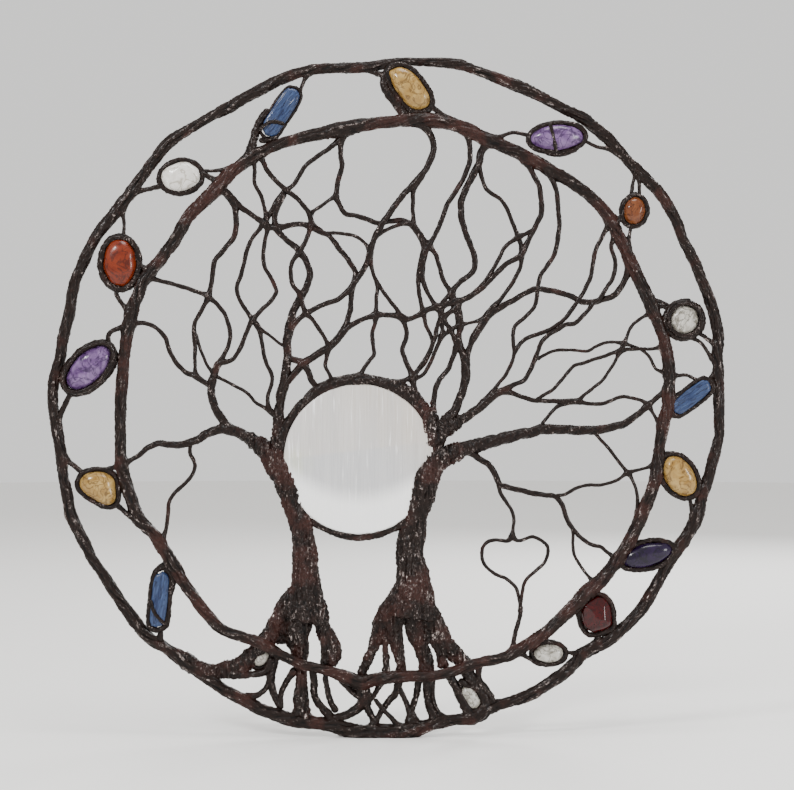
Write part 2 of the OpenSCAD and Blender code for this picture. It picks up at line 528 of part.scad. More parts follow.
module far_right_twigs() {
    color(clay)
        tubes([
            wire([[81, 283], [84.5, 276], [86, 271], [86.5, 264], [87, 256], [86.5, 250], [85.5, 244],
                  [84, 240], [80.5, 234.5], [78, 231], [76.5, 225], [76, 220], [75, 216], [73, 213],
                  [69, 209], [65, 205.5], [64, 202], [64, 197], [64.5, 193], [63.5, 188],
                  [61, 182.5], [57, 177], [49, 167]], -1.5, -0.5, 1.3, 0.9, 1.5),
            wire([[112, 257], [108, 249], [106, 245], [104.5, 240], [103.5, 234], [102.5, 229], [99, 222],
                  [96.5, 218.5], [93, 213], [90, 209], [86, 206], [81, 203], [75, 201], [70, 199],
                  [67, 196], [64, 191]], -1.5, 0.5, 1.1, 1.1),
            wire([[115, 252], [113, 245], [115, 238], [114, 230], [111, 225], [107, 219], [104, 217],
                  [101, 213], [95, 207], [90, 206], [86, 203.5], [81, 200.5], [78, 197], [76, 192],
                  [74, 187], [71.5, 181.5], [69, 178], [64, 176], [60, 173.5], [55, 171], [50, 166.5],
                  [45, 163], [40, 160], [34, 156]], -1.5, 0, 1.1, 1.2, -1),
            wire([[122, 240], [121, 232], [119, 227], [115, 221.5], [110, 219], [104, 217.5], [99, 217.5],
                  [95, 219.5], [90, 221.5], [83, 223], [76, 224], [71, 222.5], [66, 219.5], [61, 216.5],
                  [56, 213.5], [52, 210.5], [48.5, 205.5], [45, 200.5], [43, 197], [41.5, 192],
                  [40.5, 186], [40, 179]], -1, 0.5, 1.6, 1.4, 1),
            wire([[52, 210], [46, 208], [40, 206.5], [35, 205], [28, 200]], 0.5, 0.5, 0.8, 0.8)
        ]);
}

module right_low_limb() {
    color(clay)
        tubes([
            wire([[24, 137], [34, 142.5], [42, 145], [50, 147], [58, 149], [66, 151], [74, 152.5],
                  [80, 154], [93, 153.5], [107, 153.5], [113, 155], [119, 156.5], [125, 160.5],
                  [130, 164.5], [134, 168], [141, 174]], 0, -1, 4, 1.2),
            wire([[77, 153], [80, 158.5], [86, 165], [91, 167], [96, 168], [99, 170.5], [103, 173.5],
                  [108.5, 178], [112, 183], [115, 188], [119.5, 197], [123, 205], [126, 208],
                  [134, 213]], 0.5, -1, 0.9, 0.8),
            wire([[103, 154], [108, 148.5], [112, 144], [117, 137.5], [121, 132.5], [124, 127.5],
                  [126, 121], [126, 115], [127, 107]], 0, -1, 0.9, 0.8),
            wire([[23, 132], [28, 136], [34, 139], [43, 144]], -1.5, -1, 1.8, 1.4)
        ], sides = root_sides);
}

module right_leader() {
    color(clay)
        tubes([
            wire([[26, 148], [30, 157], [34, 162], [37, 168], [39.5, 175], [40.5, 182], [39.5, 189],
                  [36, 200]], 0, 0, 2.8, 1.6),
            wire([[24, 150], [24, 163], [24.5, 170], [26, 176.5], [29, 181], [32.5, 185.5], [36, 196]],
                 -1, 0.5, 1.5, 1.3),
            wire([[23, 154], [21, 161], [17, 168], [13, 172], [8, 175.5], [2, 178]], -1, -1.5, 3, 1.8)
        ], sides = root_sides);
}

module right_mid_limb() {
    color(clay)
        tubes([
            wire([[27, 150], [35, 157], [40, 159.5], [45, 163], [50, 167.5], [55, 171.5], [62, 174]],
                 -1, -0.5, 2.4, 1.2),
            wire([[58, 173], [64, 171.5], [69, 169.8], [74, 168.5], [80, 168], [87, 168], [95, 167.8],
                  [103, 166.5], [110, 167], [116, 169.5], [120, 170], [126, 169], [131, 166.5],
                  [135, 160], [139, 152]], -0.5, -1, 1.3, 0.8),
            wire([[75, 168.5], [83, 173], [87, 177], [91, 182], [94, 185.5], [99, 187], [105, 189],
                  [110, 190.5], [115, 192.5], [120, 193.5], [127, 194], [133, 194], [140, 195.5]],
                 -0.5, -1, 0.9, 0.9),
            wire([[76, 189], [84, 193], [91, 193.5], [101, 193], [105, 195], [110, 197], [115, 197.5],
                  [120, 196.5], [125, 195], [129, 193], [132, 190], [134, 186], [136, 183.5],
                  [142, 181]], 0.5, -1, 0.8, 0.8)
        ]);
}

module right_drooping_limb() {
    color(clay)
        tubes([
            wire([[40, 144], [49, 138], [53, 135], [57, 127], [61, 125], [67, 123.5], [73, 122],
                  [79, 121], [84, 120.5], [88, 117], [90.5, 110], [93, 105], [96, 101.5], [100, 98],
                  [104, 96], [108, 95], [111, 92.5], [117, 88]], 0, -1, 1.7, 0.9),
            wire([[56, 129], [57.5, 123], [60, 118.5], [63, 114], [64.5, 109], [64, 104], [63.5, 99]],
                 0, -1, 1.1, 0.8),
            wire([[83, 120.5], [89, 121], [92, 122.5], [97, 125], [102, 126], [107, 126], [112, 127],
                  [117, 129], [121, 132], [127, 133.5], [136, 137]], 0, -1, 0.9, 0.8),
            wire([[93, 106], [94, 101], [94, 95], [95, 90.5], [98, 85], [105, 76]], 0, -1, 0.8, 0.8)
        ]);
}

module heart() {
    color(clay)
        tubes([
            wire([[63.5, 101], [61.5, 98.3], [58, 98.3], [54, 98.5], [51, 97.5], [48.8, 94.5],
                  [48.5, 90], [50.5, 85.5], [55, 81.5], [60, 79.5], [63.5, 77], [66, 73.5],
                  [67, 69], [68.5, 62]], -1, -0.5, 0.9, 0.9),
            wire([[63.5, 101], [66, 98.3], [69, 98.8], [72, 100], [75, 100], [78.5, 98.3], [81, 95.5],
                  [81.3, 91.5], [79.5, 87.5], [76, 84], [71.5, 80], [69.3, 76.5], [68.5, 72],
                  [67, 62]], -1, -1.8, 0.9, 0.9),
            wire([[68, 66], [67.5, 61], [66, 56], [64.5, 51], [63.5, 42]], -1, -3, 1.1, 1.2)
        ]);
}

// ---- Stone settings ---------------------------------------------------------------------------

// Each setting's closed wires and open wires, in the order of STONES.
function setting_loops(i) =
    i == 0 ? [bezel(i, 1.1)]
    : i == 3 ? [bezel(i, 1.5), bezel(i, 0.6, 3)]
    : i == 9 ? [bezel(i, 1.2)]
    : i == 13 ? [bezel(i, 1.3), bezel(i, 0.7, 3)]
    : i == 14 ? [bezel(i, 1.3)]
    : i == 16 ? [bezel(i, 0.6)]
    : [bezel(i, 1)];

setting_wires = [
    // citrine_top: a clay strip on the left, leads to both hoops
    [wire([[3, 336], [0, 331], [-0.5, 326], [3, 320], [7, 315], [11, 310]], 0, -1, 1.6, 2.4),
     wire([[-9, 334], [-3, 331.5], [2, 332.5]], 1, 0, 1, 1.4),
     wire([[22, 316], [26, 313], [31, 309]], -1, -1.5, 1.3, 1),
     wire([[9, 312], [15, 311.5], [23, 313.5]], -1, -1, 1.4, 1.2)],
    // amethyst_cluster: leads along the inner hoop
    [grip([[74, 300], [65, 302], [60, 301], [53, 298]], -1, -1.5),
     grip([[98, 299], [106, 295], [112, 294], [117, 292]], -1, 1),
     wire([[76, 294], [86, 291], [96, 294]], -1, -1, 1, 1.2),
     grip([[82, 306], [84, 299], [85, 292]], -5.5, -5)],
    // carnelian: two wires above, one below
    [grip([[123, 270], [124, 277], [126, 285]], -1, 1),
     grip([[127, 270], [127, 277], [125, 284]], -1.5, 1),
     grip([[123, 256], [122, 250], [121, 243]], -1, -1.5),
     wire([[114, 258], [118, 260], [120, 266]], -1, -1, 1.6, 1)],
    // quartz_right
    [grip([[142, 213], [139, 215], [134, 215]], -0.5, -1),
     grip([[143, 215], [138, 217.5], [132, 219]], 0.5, -1),
     wire([[155, 203], [160, 200], [166, 195]], 0, 1.5, 1, 0.9),
     grip([[151, 200], [158, 197], [164, 188]], -0.5, 1)],
    // kyanite_right
    [grip([[160, 177], [163, 180], [167, 183]], 0, 1.5),
     grip([[142, 180], [150, 181], [155, 179], [160, 178]], -1, 0),
     wire([[145, 163], [143, 166], [141, 170]], -0.5, -1, 1.2, 1.4)],
    // citrine_right
    [wire([[142, 139], [139, 138], [135, 136]], -0.5, -1, 1.2, 1.2),
     wire([[152, 122], [156, 123], [160, 124]], 0, 1.5, 1.1, 1),
     grip([[152, 120], [153.5, 113], [155, 106]], -0.5, 1)],
    // amethyst_dark
    [wire([[121, 88], [118, 88], [114, 87]], -0.5, -1, 1.2, 1.4),
     wire([[141, 94], [145, 95], [150, 98]], 0, 1.5, 1.2, 1.2)],
    // garnet
    [wire([[103, 69], [102, 72], [101, 75]], -0.5, -1.5, 2, 2.4),
     wire([[106, 53], [106.5, 50], [105, 45]], 0, 1.5, 1.3, 1.2),
     wire([[96, 66], [99, 60], [101, 54]], -1.5, -2, 1.2, 1)],
    // quartz_low
    [grip([[76, 49], [84, 47.5], [90, 43], [95, 42], [101, 42]], -1.5, 1),
     grip([[67, 43], [71, 40], [77, 36.5], [83, 37]], -3, -0.5)],
    // root_quartz_right: the clay pocket at the foot of the right roots
    [wire([[31, 33], [36, 24], [40, 16], [44, 8]], 0, 1, 2, 2.4),
     wire([[39, 33], [46, 24], [50, 17], [48, 10]], 0, 1, 1.8, 2.4),
     wire([[37, 29], [41, 26], [45, 25]], -1, -0.5, 1.6, 1.2)],
    // root_quartz_left: the clay pocket of the far left root
    [wire([[-57, 45], [-63, 46], [-70, 38], [-78, 34]], 0, 1, 1.6, 1.8),
     wire([[-56, 40], [-60, 33], [-68, 31], [-78, 31]], 0, 1, 1.6, 1.8)],
    // kyanite_low_left: a clay strip on the right and a wire across the front
    [wire([[-110, 84], [-106, 79], [-108, 68], [-108.5, 60], [-110, 54]], -0.5, 0, 1.6, 1.2),
     grip([[-117, 69], [-115, 63], [-112, 59], [-109, 56]], -3.5, -3.5),
     wire([[-112, 54], [-112.5, 50], [-113, 46]], 0, 1.5, 1.2, 1.1),
     wire([[-114, 83], [-110, 86], [-104, 86]], -0.5, -1.5, 1.4, 1.4)],
    // citrine_left
    [wire([[-151, 132], [-157, 137], [-162, 142]], -0.5, 1.5, 1.2, 1),
     wire([[-140, 133], [-135, 135], [-130, 135]], -0.5, -1, 1.2, 1),
     wire([[-135, 117], [-128, 111], [-120, 105]], -0.5, -1.5, 1.2, 1)],
    // amethyst_light
    [wire([[-138, 194], [-138, 201], [-134, 204], [-128, 205]], -0.5, -1.5, 1.2, 1),
     wire([[-156, 174], [-160, 166], [-163, 158], [-163, 149]], -0.5, 1.5, 1.2, 1)],
    // red_jasper
    [grip([[-131, 249], [-130.5, 256], [-132, 268]], -0.5, 1.5),
     wire([[-125, 243], [-123, 237], [-117, 232]], -0.5, -1.5, 1.2, 1),
     wire([[-133, 225], [-134, 221], [-128, 212]], -0.5, -1.5, 1.2, 1)],
    // moonstone
    [wire([[-110, 276], [-118, 274], [-127, 272]], -0.5, 1.5, 1.3, 1),
     wire([[-94, 283], [-88, 280], [-81, 276]], -0.5, -1.5, 1.4, 1.2),
     grip([[-92, 283], [-86, 283], [-77, 284]], 0, -1.5)],
    // kyanite_top_left: a clay grip round the lower end and a thin wire to the outer hoop
    [wire([[-58, 314], [-62, 309], [-64, 304], [-65.5, 299], [-68, 290]], -0.5, -1.5, 1.4, 2.2),
     grip([[-63, 303], [-57, 307], [-50, 306]], -4, -4),
     wire([[-50, 307], [-53, 302], [-57, 299], [-63, 298]], -0.5, -1, 1.1, 1.2),
     grip([[-43, 321], [-41, 327], [-37, 334]], -0.5, 1.5)]
];

module setting(index) {
    color(clay)
        tubes(setting_wires[index], setting_loops(index));
}

// ---- The assembly -----------------------------------------------------------------------------

outer_hoop();
inner_hoop();
left_trunk();
right_trunk();
left_roots();
right_roots();
root_strands();
moon_ring();
selenite_disc();
heart();
left_low_limb();
left_bough();
left_outer_twigs();
left_leader();
crown_left_twigs();
crossing_twigs();
crown_centre_twigs();
moon_twigs();
arch_bough();
inner_right_twigs();
crown_right_twigs();
far_right_twigs();
right_low_limb();
right_leader();
right_mid_limb();
right_drooping_limb();
for (i = [0:len(STONES) - 1]) {
    stone(i);
    setting(i);
}
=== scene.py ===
import json
import math
from collections import namedtuple

import bmesh
import bpy
from bpy.props import FloatProperty, FloatVectorProperty, IntProperty, PointerProperty
from bpy.types import Operator, Panel, PropertyGroup
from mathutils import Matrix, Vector, noise


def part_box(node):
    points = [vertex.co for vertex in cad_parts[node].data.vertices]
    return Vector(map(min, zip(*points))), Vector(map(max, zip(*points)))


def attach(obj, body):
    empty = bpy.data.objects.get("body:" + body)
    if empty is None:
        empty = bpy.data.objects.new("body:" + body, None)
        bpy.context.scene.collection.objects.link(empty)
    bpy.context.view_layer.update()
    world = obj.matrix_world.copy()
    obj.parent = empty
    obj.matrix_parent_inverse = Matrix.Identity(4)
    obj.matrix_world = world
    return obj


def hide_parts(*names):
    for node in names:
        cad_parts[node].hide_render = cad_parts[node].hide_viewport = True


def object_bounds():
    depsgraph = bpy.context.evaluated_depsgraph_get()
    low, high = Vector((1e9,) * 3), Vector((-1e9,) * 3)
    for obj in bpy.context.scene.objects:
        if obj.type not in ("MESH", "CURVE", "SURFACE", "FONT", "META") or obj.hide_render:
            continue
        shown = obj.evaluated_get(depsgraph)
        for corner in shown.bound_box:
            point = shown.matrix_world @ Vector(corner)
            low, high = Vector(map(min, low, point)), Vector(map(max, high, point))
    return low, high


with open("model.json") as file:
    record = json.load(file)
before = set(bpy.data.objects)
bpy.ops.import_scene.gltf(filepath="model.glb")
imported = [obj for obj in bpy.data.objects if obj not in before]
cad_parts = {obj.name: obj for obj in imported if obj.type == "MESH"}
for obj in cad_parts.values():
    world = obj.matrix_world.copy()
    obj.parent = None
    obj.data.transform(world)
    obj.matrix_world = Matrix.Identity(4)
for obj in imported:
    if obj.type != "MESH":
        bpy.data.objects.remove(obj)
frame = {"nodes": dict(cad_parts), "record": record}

bl_info = {
    "name": "Clay Tree of Life",
    "version": (1, 0, 0),
    "blender": (4, 5, 0),
    "location": "View3D > Sidebar > Clay Tree",
    "description": "Finishes a wire and clay tree of life with bark, twisted wire, selenite and stones",
    "category": "Add Mesh",
}

MM = 0.001
CAD_LOW, CAD_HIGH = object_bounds()
SLOT_OF = {part["node"]: part["material_slot"] for part in frame["record"]["subparts"]}
SETTING = "_setting"
STONES = sorted(name for name in frame["nodes"] if name + SETTING in frame["nodes"])
HOOPS = ["outer_hoop", "inner_hoop"]
TRUNKS = {"left_trunk": "left_roots", "right_trunk": "right_roots"}
CANOPY = [
    "left_low_limb", "left_bough", "left_outer_twigs", "left_leader", "crown_left_twigs",
    "crossing_twigs", "crown_centre_twigs", "moon_twigs", "arch_bough", "inner_right_twigs",
    "crown_right_twigs", "far_right_twigs", "right_low_limb", "right_leader", "right_mid_limb",
    "right_drooping_limb",
]


# ---- Node trees written as plain arithmetic ---------------------------------------------------

class Field:
    """A value in a node tree that takes part in plain arithmetic."""

    def __init__(self, tree, socket):
        self.tree = tree
        self.socket = socket

    def math(self, operation, *others):
        return math_node(self.tree, operation, self, *others)

    def __add__(self, other):
        return self.math("ADD", other)

    def __sub__(self, other):
        return self.math("SUBTRACT", other)

    def __rsub__(self, other):
        return math_node(self.tree, "SUBTRACT", other, self)

    def __mul__(self, other):
        return self.math("MULTIPLY", other)

    def __truediv__(self, other):
        return self.math("DIVIDE", other)

    def __rtruediv__(self, other):
        return math_node(self.tree, "DIVIDE", other, self)

    __radd__ = __add__
    __rmul__ = __mul__


def feed(tree, socket, value):
    """Links a field to a socket, or sets a plain value on it."""
    if isinstance(value, Field):
        tree.links.new(value.socket, socket)
    elif value is not None:
        socket.default_value = value


def node(tree, kind, *values, out=0, named=(), **settings):
    """Adds a node and feeds its inputs, in order or by name; returns one output as a Field."""
    made = tree.nodes.new(kind)
    for key, value in settings.items():
        setattr(made, key, value)
    for socket, value in zip([s for s in made.inputs if s.enabled], values):
        feed(tree, socket, value)
    for key, value in dict(named).items():
        feed(tree, made.inputs[key], value)
    return Field(tree, made.outputs[out])


def math_node(tree, operation, *values):
    return node(tree, "ShaderNodeMath", *values, operation=operation)


def vector_node(tree, operation, *values):
    out = "Value" if operation in ("LENGTH", "DOT_PRODUCT") else "Vector"
    return node(tree, "ShaderNodeVectorMath", *values, out=out, operation=operation)


def scaled(vector, amount):
    return node(vector.tree, "ShaderNodeVectorMath", operation="SCALE",
                named={"Vector": vector, "Scale": amount})


def combine(tree, x, y, z):
    return node(tree, "ShaderNodeCombineXYZ", x, y, z)


def separate(vector):
    made = node(vector.tree, "ShaderNodeSeparateXYZ", vector)
    return [Field(vector.tree, s) for s in made.socket.node.outputs]


def ramp(value, low, high, start=0.0, end=1.0, smooth=True):
    """The value taken from low..high to start..end and held there."""
    kind = "SMOOTHSTEP" if smooth else "LINEAR"
    return node(value.tree, "ShaderNodeMapRange", value, low, high, start, end,
                interpolation_type=kind)


def grain(vector, size=1.0, detail=2.0, roughness=0.5, distortion=0.0):
    """Smooth noise from 0 to 1 whose features are about as large as size."""
    return node(vector.tree, "ShaderNodeTexNoise", noise_dimensions="3D", named={
        "Vector": vector, "Scale": 1.0 / size, "Detail": detail, "Roughness": roughness,
        "Distortion": distortion})


def spread(value, reach=0.2):
    """Noise, which gathers about its middle, spread evenly over 0 to 1."""
    return ramp(value, 0.5 - reach, 0.5 + reach, smooth=False)


def ridged(value):
    """Noise folded about its middle, so that thin crests stand at 1."""
    return 1.0 - (spread(value) * 2.0 - 1.0).math("ABSOLUTE")


# ---- Reading the frame ------------------------------------------------------------------------

# Corners closer than this are one corner.
WELD = 1e-6


def shells(name):
    """The separate shells of a node's mesh, each as {corner: its neighbours}, in a fixed order."""
    welded = bmesh.new()
    welded.from_mesh(frame["nodes"][name].data)
    bmesh.ops.remove_doubles(welded, verts=welded.verts, dist=WELD)
    near = {v.co.copy().freeze(): {e.other_vert(v).co.copy().freeze() for e in v.link_edges}
            for v in welded.verts}
    welded.free()
    found = []
    left = set(near)
    for first in sorted(near, key=tuple):
        if first not in left:
            continue
        shell = set()
        waiting = [first]
        while waiting:
            corner = waiting.pop()
            if corner in shell:
                continue
            shell.add(corner)
            waiting.extend(near[corner] - shell)
        left -= shell
        found.append({corner: near[corner] for corner in sorted(shell, key=tuple)})
    return found


def rings_from(tip, shell):
    """The tube's corners in rings, counted in steps from one tip, or None if they aren't rings."""
    sides = len(shell[tip])
    seen = {tip}
    rings = [[tip]]
    while True:
        ring = {near for corner in rings[-1] for near in shell[corner]} - seen
        if not ring:
            break
        seen |= ring
        rings.append(sorted(ring, key=tuple))
        if len(ring) != sides:
            break
    whole = len(seen) == len(shell) and len(rings[-1]) == 1 and len(rings) > 3
    return rings[1:-1] if whole else None


def middle(points):
    return sum(points, Vector()) / len(points)


def open_routes(name, flat=1.0):
    """The middle line of each open tube of a node, as (place, radius) pairs."""
    routes = []
    for shell in shells(name):
        found = next((r for r in (rings_from(tip, shell) for tip in shell) if r), None)
        if found is None:
            continue
        route = []
        for ring in found:
            centre = middle(ring)
            scatter = sum((corner - centre).length_squared for corner in ring) / len(ring)
            route.append((centre, math.sqrt(2.0 * scatter / (1.0 + flat * flat))))
        routes.append(route)
    return routes


def hoop_route(name, gap=4 * MM):
    """The middle line of a hoop, from its lapped lengths, in order round the hoop's middle."""
    places = [point for route in open_routes(name) for point in route]
    hub = middle([place for place, _ in places])
    places.sort(key=lambda point: math.atan2(point[0].z - hub.z, point[0].x - hub.x))
    route = []
    for place, radius in places:
        if not route or (place - route[-1][0]).length > gap:
            route.append((place, radius))
    if (route[-1][0] - route[0][0]).length < gap:
        route.pop()
    return route


# A pentagon's reach in depth, against its radius.
PENTAGON_REACH = math.sin(math.radians(108.0))
# A rim is this much thicker than the bare tube, and its middle is this share of its radius out
# from the stone's edge, so that it grips the stone.
RIM_SWELL = 1.3
RIM_OUT = 0.6
# The widest ring of a stone stands between these shares of half its depth.
WIDEST = (0.3, 0.6)
OUTLINE_STEP = 0.2 * MM


def stone_shape(name):
    """A stone's middle, half its depth, and its outline's corners in order round the middle."""
    low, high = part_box(name)
    half = (high[1] - low[1]) / 2
    level = (high[1] + low[1]) / 2
    corners = [corner for shell in shells(name) for corner in shell
               if WIDEST[0] * half < abs(corner.y - level) < WIDEST[1] * half]
    if not corners:
        raise RuntimeError(f"{name} shows no outline")
    hub = middle(corners)
    corners.sort(key=lambda corner: math.atan2(corner.z - hub.z, corner.x - hub.x))
    outline = []
    for corner in corners:
        flat = Vector((corner.x, level, corner.z))
        if not outline or (flat - outline[-1]).length > OUTLINE_STEP:
            outline.append(flat)
    return middle(outline), half, outline


def bezel_routes(stone):
    """The closed tubes of a stone's setting, each led round the stone's outline."""
    hub, _, outline = stone_shape(stone)
    routes = []
    for shell in shells(stone + SETTING):
        if any(rings_from(tip, shell) for tip in shell):
            continue
        depths = [corner.y for corner in shell]
        radius = RIM_SWELL * (max(depths) - min(depths)) / 2 / PENTAGON_REACH
        shift = Vector((0.0, (max(depths) + min(depths)) / 2 - hub.y, 0.0))
        places = [corner + shift + (corner - hub).normalized() * RIM_OUT * radius
                  for corner in outline]
        routes.append([(place, radius) for place in places])
    return routes


def start_of(route, reach, thick, thin):
    """The first stretch of a route, its radii going from thick to thin of their own size."""
    cut = [(route[0][0], route[0][1] * thick)]
    gone = 0.0
    for (place, radius), (ahead, radius_ahead) in zip(route, route[1:]):
        step = (ahead - place).length
        part = min(1.0, (reach - gone) / step)
        gone += step * part
        factor = thick + (thin - thick) * gone / reach
        cut.append((place.lerp(ahead, part), (radius + (radius_ahead - radius) * part) * factor))
        if part < 1.0:
            break
    return cut


def run_into(trunks, route, climb, thick):
    """The route, led into the nearest trunk this much higher up its middle line."""
    wood = [point for trunk in trunks for point in trunk]
    start, radius = route[0]
    aim = start.z + climb
    inner, trunk_radius = min(wood, key=lambda point: abs(point[0].z - aim))
    return [(inner, min(radius * thick, trunk_radius * 0.8)), *route]


# How far below a limb's start its clay runs into the trunk.
LIMB_DROP = 12 * MM


def stubs(trunks, reach=18 * MM, thick=1.25, thin=0.6):
    """The starts of the limbs that grow out of these trunks, to be worked into their clay."""
    wood = [point for route in trunks for point in route]
    found = []
    for name in CANOPY:
        for route in open_routes(name):
            for way in (route, route[::-1]):
                if any((way[0][0] - place).length < radius + 1 * MM for place, radius in wood):
                    start = start_of(way, reach, thick, thin)
                    found.append(run_into(trunks, start, -LIMB_DROP, 1.0))
    return found


# ---- Coated wire ------------------------------------------------------------------------------

def route_mesh(name, routes):
    """Edges along each route, with the tube's radius and its share of depth on their points.

    A route is (points, closed, flat), and its points are (place, radius) pairs."""
    places, edges, radii, flats = [], [], [], []
    for points, closed, flat in routes:
        first = len(places)
        for place, radius in points:
            places.append(place)
            radii.append(radius)
            flats.append(flat)
        last = len(places) - 1
        edges.extend((i, i + 1) for i in range(first, last))
        if closed:
            edges.append((last, first))
    mesh = bpy.data.meshes.new(name)
    mesh.from_pydata(places, edges, [])
    for key, values in (("radius_of", radii), ("flat_of", flats)):
        mesh.attributes.new(key, "FLOAT", "POINT").data.foreach_set("value", values)
    return mesh


def sockets(kind, *names):
    return [(name, "NodeSocket" + kind) for name in names]


# What every surface is worked with, and what each way of working asks for besides.
SURFACE_INPUTS = [
    *sockets("Float", "Lump", "Lump Size", "Crumple", "Crumple Size", "Join Reach"),
    *sockets("Object", "Joins"), *sockets("Vector", "Low Corner", "High Corner"),
    *sockets("Material", "Material"),
]
TUBE_INPUTS = [*sockets("Float", "Spacing", "Wobble", "Wobble Size"), *sockets("Int", "Sides")]
WIRE_INPUTS = [
    *sockets("Float", "Swell", "Strands", "Twist", "Groove", "Fibre", "Stretch", "Seed"),
    *TUBE_INPUTS, *SURFACE_INPUTS,
]
BARK_INPUTS = [
    *sockets("Float", "Strip", "Strip Size", "Pimple", "Pimple Size"), *SURFACE_INPUTS,
]


def capture(tree, geometry, value):
    """Keeps a vector on the geometry's points; returns the geometry and the kept vector."""
    made = tree.nodes.new("GeometryNodeCaptureAttribute")
    made.capture_items.new("VECTOR", "Kept")
    feed(tree, made.inputs[0], geometry)
    feed(tree, made.inputs[1], value)
    return Field(tree, made.outputs[0]), Field(tree, made.outputs[1])


def new_tree(label, inputs):
    """A modifier's tree with these named inputs; returns it, its geometry and its inputs."""
    tree = bpy.data.node_groups.new(label, "GeometryNodeTree")
    tree.interface.new_socket("Geometry", in_out="INPUT", socket_type="NodeSocketGeometry")
    tree.interface.new_socket("Geometry", in_out="OUTPUT", socket_type="NodeSocketGeometry")
    for name, kind in inputs:
        tree.interface.new_socket(name, in_out="INPUT", socket_type=kind)
    entry = tree.nodes.new("NodeGroupInput")
    given = {name: Field(tree, entry.outputs[name]) for name, _ in inputs}
    return tree, Field(tree, entry.outputs["Geometry"]), given


def give_back(tree, geometry):
    leave = tree.nodes.new("NodeGroupOutput")
    feed(tree, leave.inputs["Geometry"], geometry)


def bent_route(tree, mesh, given):
    """Routes smoothed, cut into even steps and bent a little by hand."""
    route = node(tree, "GeometryNodeMeshToCurve", mesh)
    route = node(tree, "GeometryNodeCurveSplineType", route, spline_type="CATMULL_ROM")
    route = node(tree, "GeometryNodeResampleCurve", mode="LENGTH",
                 named={"Curve": route, "Length": given["Spacing"]})
    bend = node(tree, "ShaderNodeTexNoise", out="Color", named={
        "Vector": node(tree, "GeometryNodeInputPosition"),
        "Scale": 1.0 / given["Wobble Size"], "Detail": 1.0})
    bend = scaled(vector_node(tree, "SUBTRACT", bend, (0.5, 0.5, 0.5)), given["Wobble"])
    route = node(tree, "GeometryNodeSetPosition", named={"Geometry": route, "Offset": bend})
    return node(tree, "GeometryNodeSetCurveNormal", mode="FREE",
                named={"Curve": route, "Normal": (0.0, 1.0, 0.0)})


def kept(tree, name):
    """A value that the routes' points carry."""
    return node(tree, "GeometryNodeInputNamedAttribute", name, data_type="FLOAT")


def unit_circle(tree, given):
    return node(tree, "GeometryNodeCurvePrimitiveCircle", mode="RADIUS",
                named={"Resolution": given["Sides"], "Radius": 1.0})


def flattened_spoke(tree, place, core):
    """The way from the wire's middle to a point, pressed to the wire's share of depth."""
    spoke = vector_node(tree, "SUBTRACT", place, core)
    return vector_node(tree, "MULTIPLY", spoke, combine(tree, 1.0, kept(tree, "flat_of"), 1.0))


def gathered_clay(tree, given):
    """How far clay is built up where a piece meets its neighbours."""
    others = node(tree, "GeometryNodeObjectInfo", given["Joins"], out="Geometry")
    reach = given["Join Reach"]
    away = node(tree, "GeometryNodeProximity", others, out="Distance", target_element="FACES")
    close = ramp(away / reach, 0.0, 1.0, 1.0, 0.0, smooth=False)
    return close * close * reach * 0.25


def set_in_box(tree, geometry, moved, crest, given):
    """Moves the points, no further than the corners allow, and finishes the surface."""
    moved = vector_node(tree, "MAXIMUM", moved, given["Low Corner"])
    moved = vector_node(tree, "MINIMUM", moved, given["High Corner"])
    clay = node(tree, "GeometryNodeSetPosition", named={"Geometry": geometry, "Position": moved})
    clay = node(tree, "GeometryNodeStoreNamedAttribute", data_type="FLOAT", domain="POINT",
                named={"Geometry": clay, "Name": "crest", "Value": crest})
    clay = node(tree, "GeometryNodeSetShadeSmooth", named={"Geometry": clay, "Shade Smooth": True})
    clay = node(tree, "GeometryNodeRealizeInstances", clay)
    return node(tree, "GeometryNodeSetMaterial",
                named={"Geometry": clay, "Material": given["Material"]})


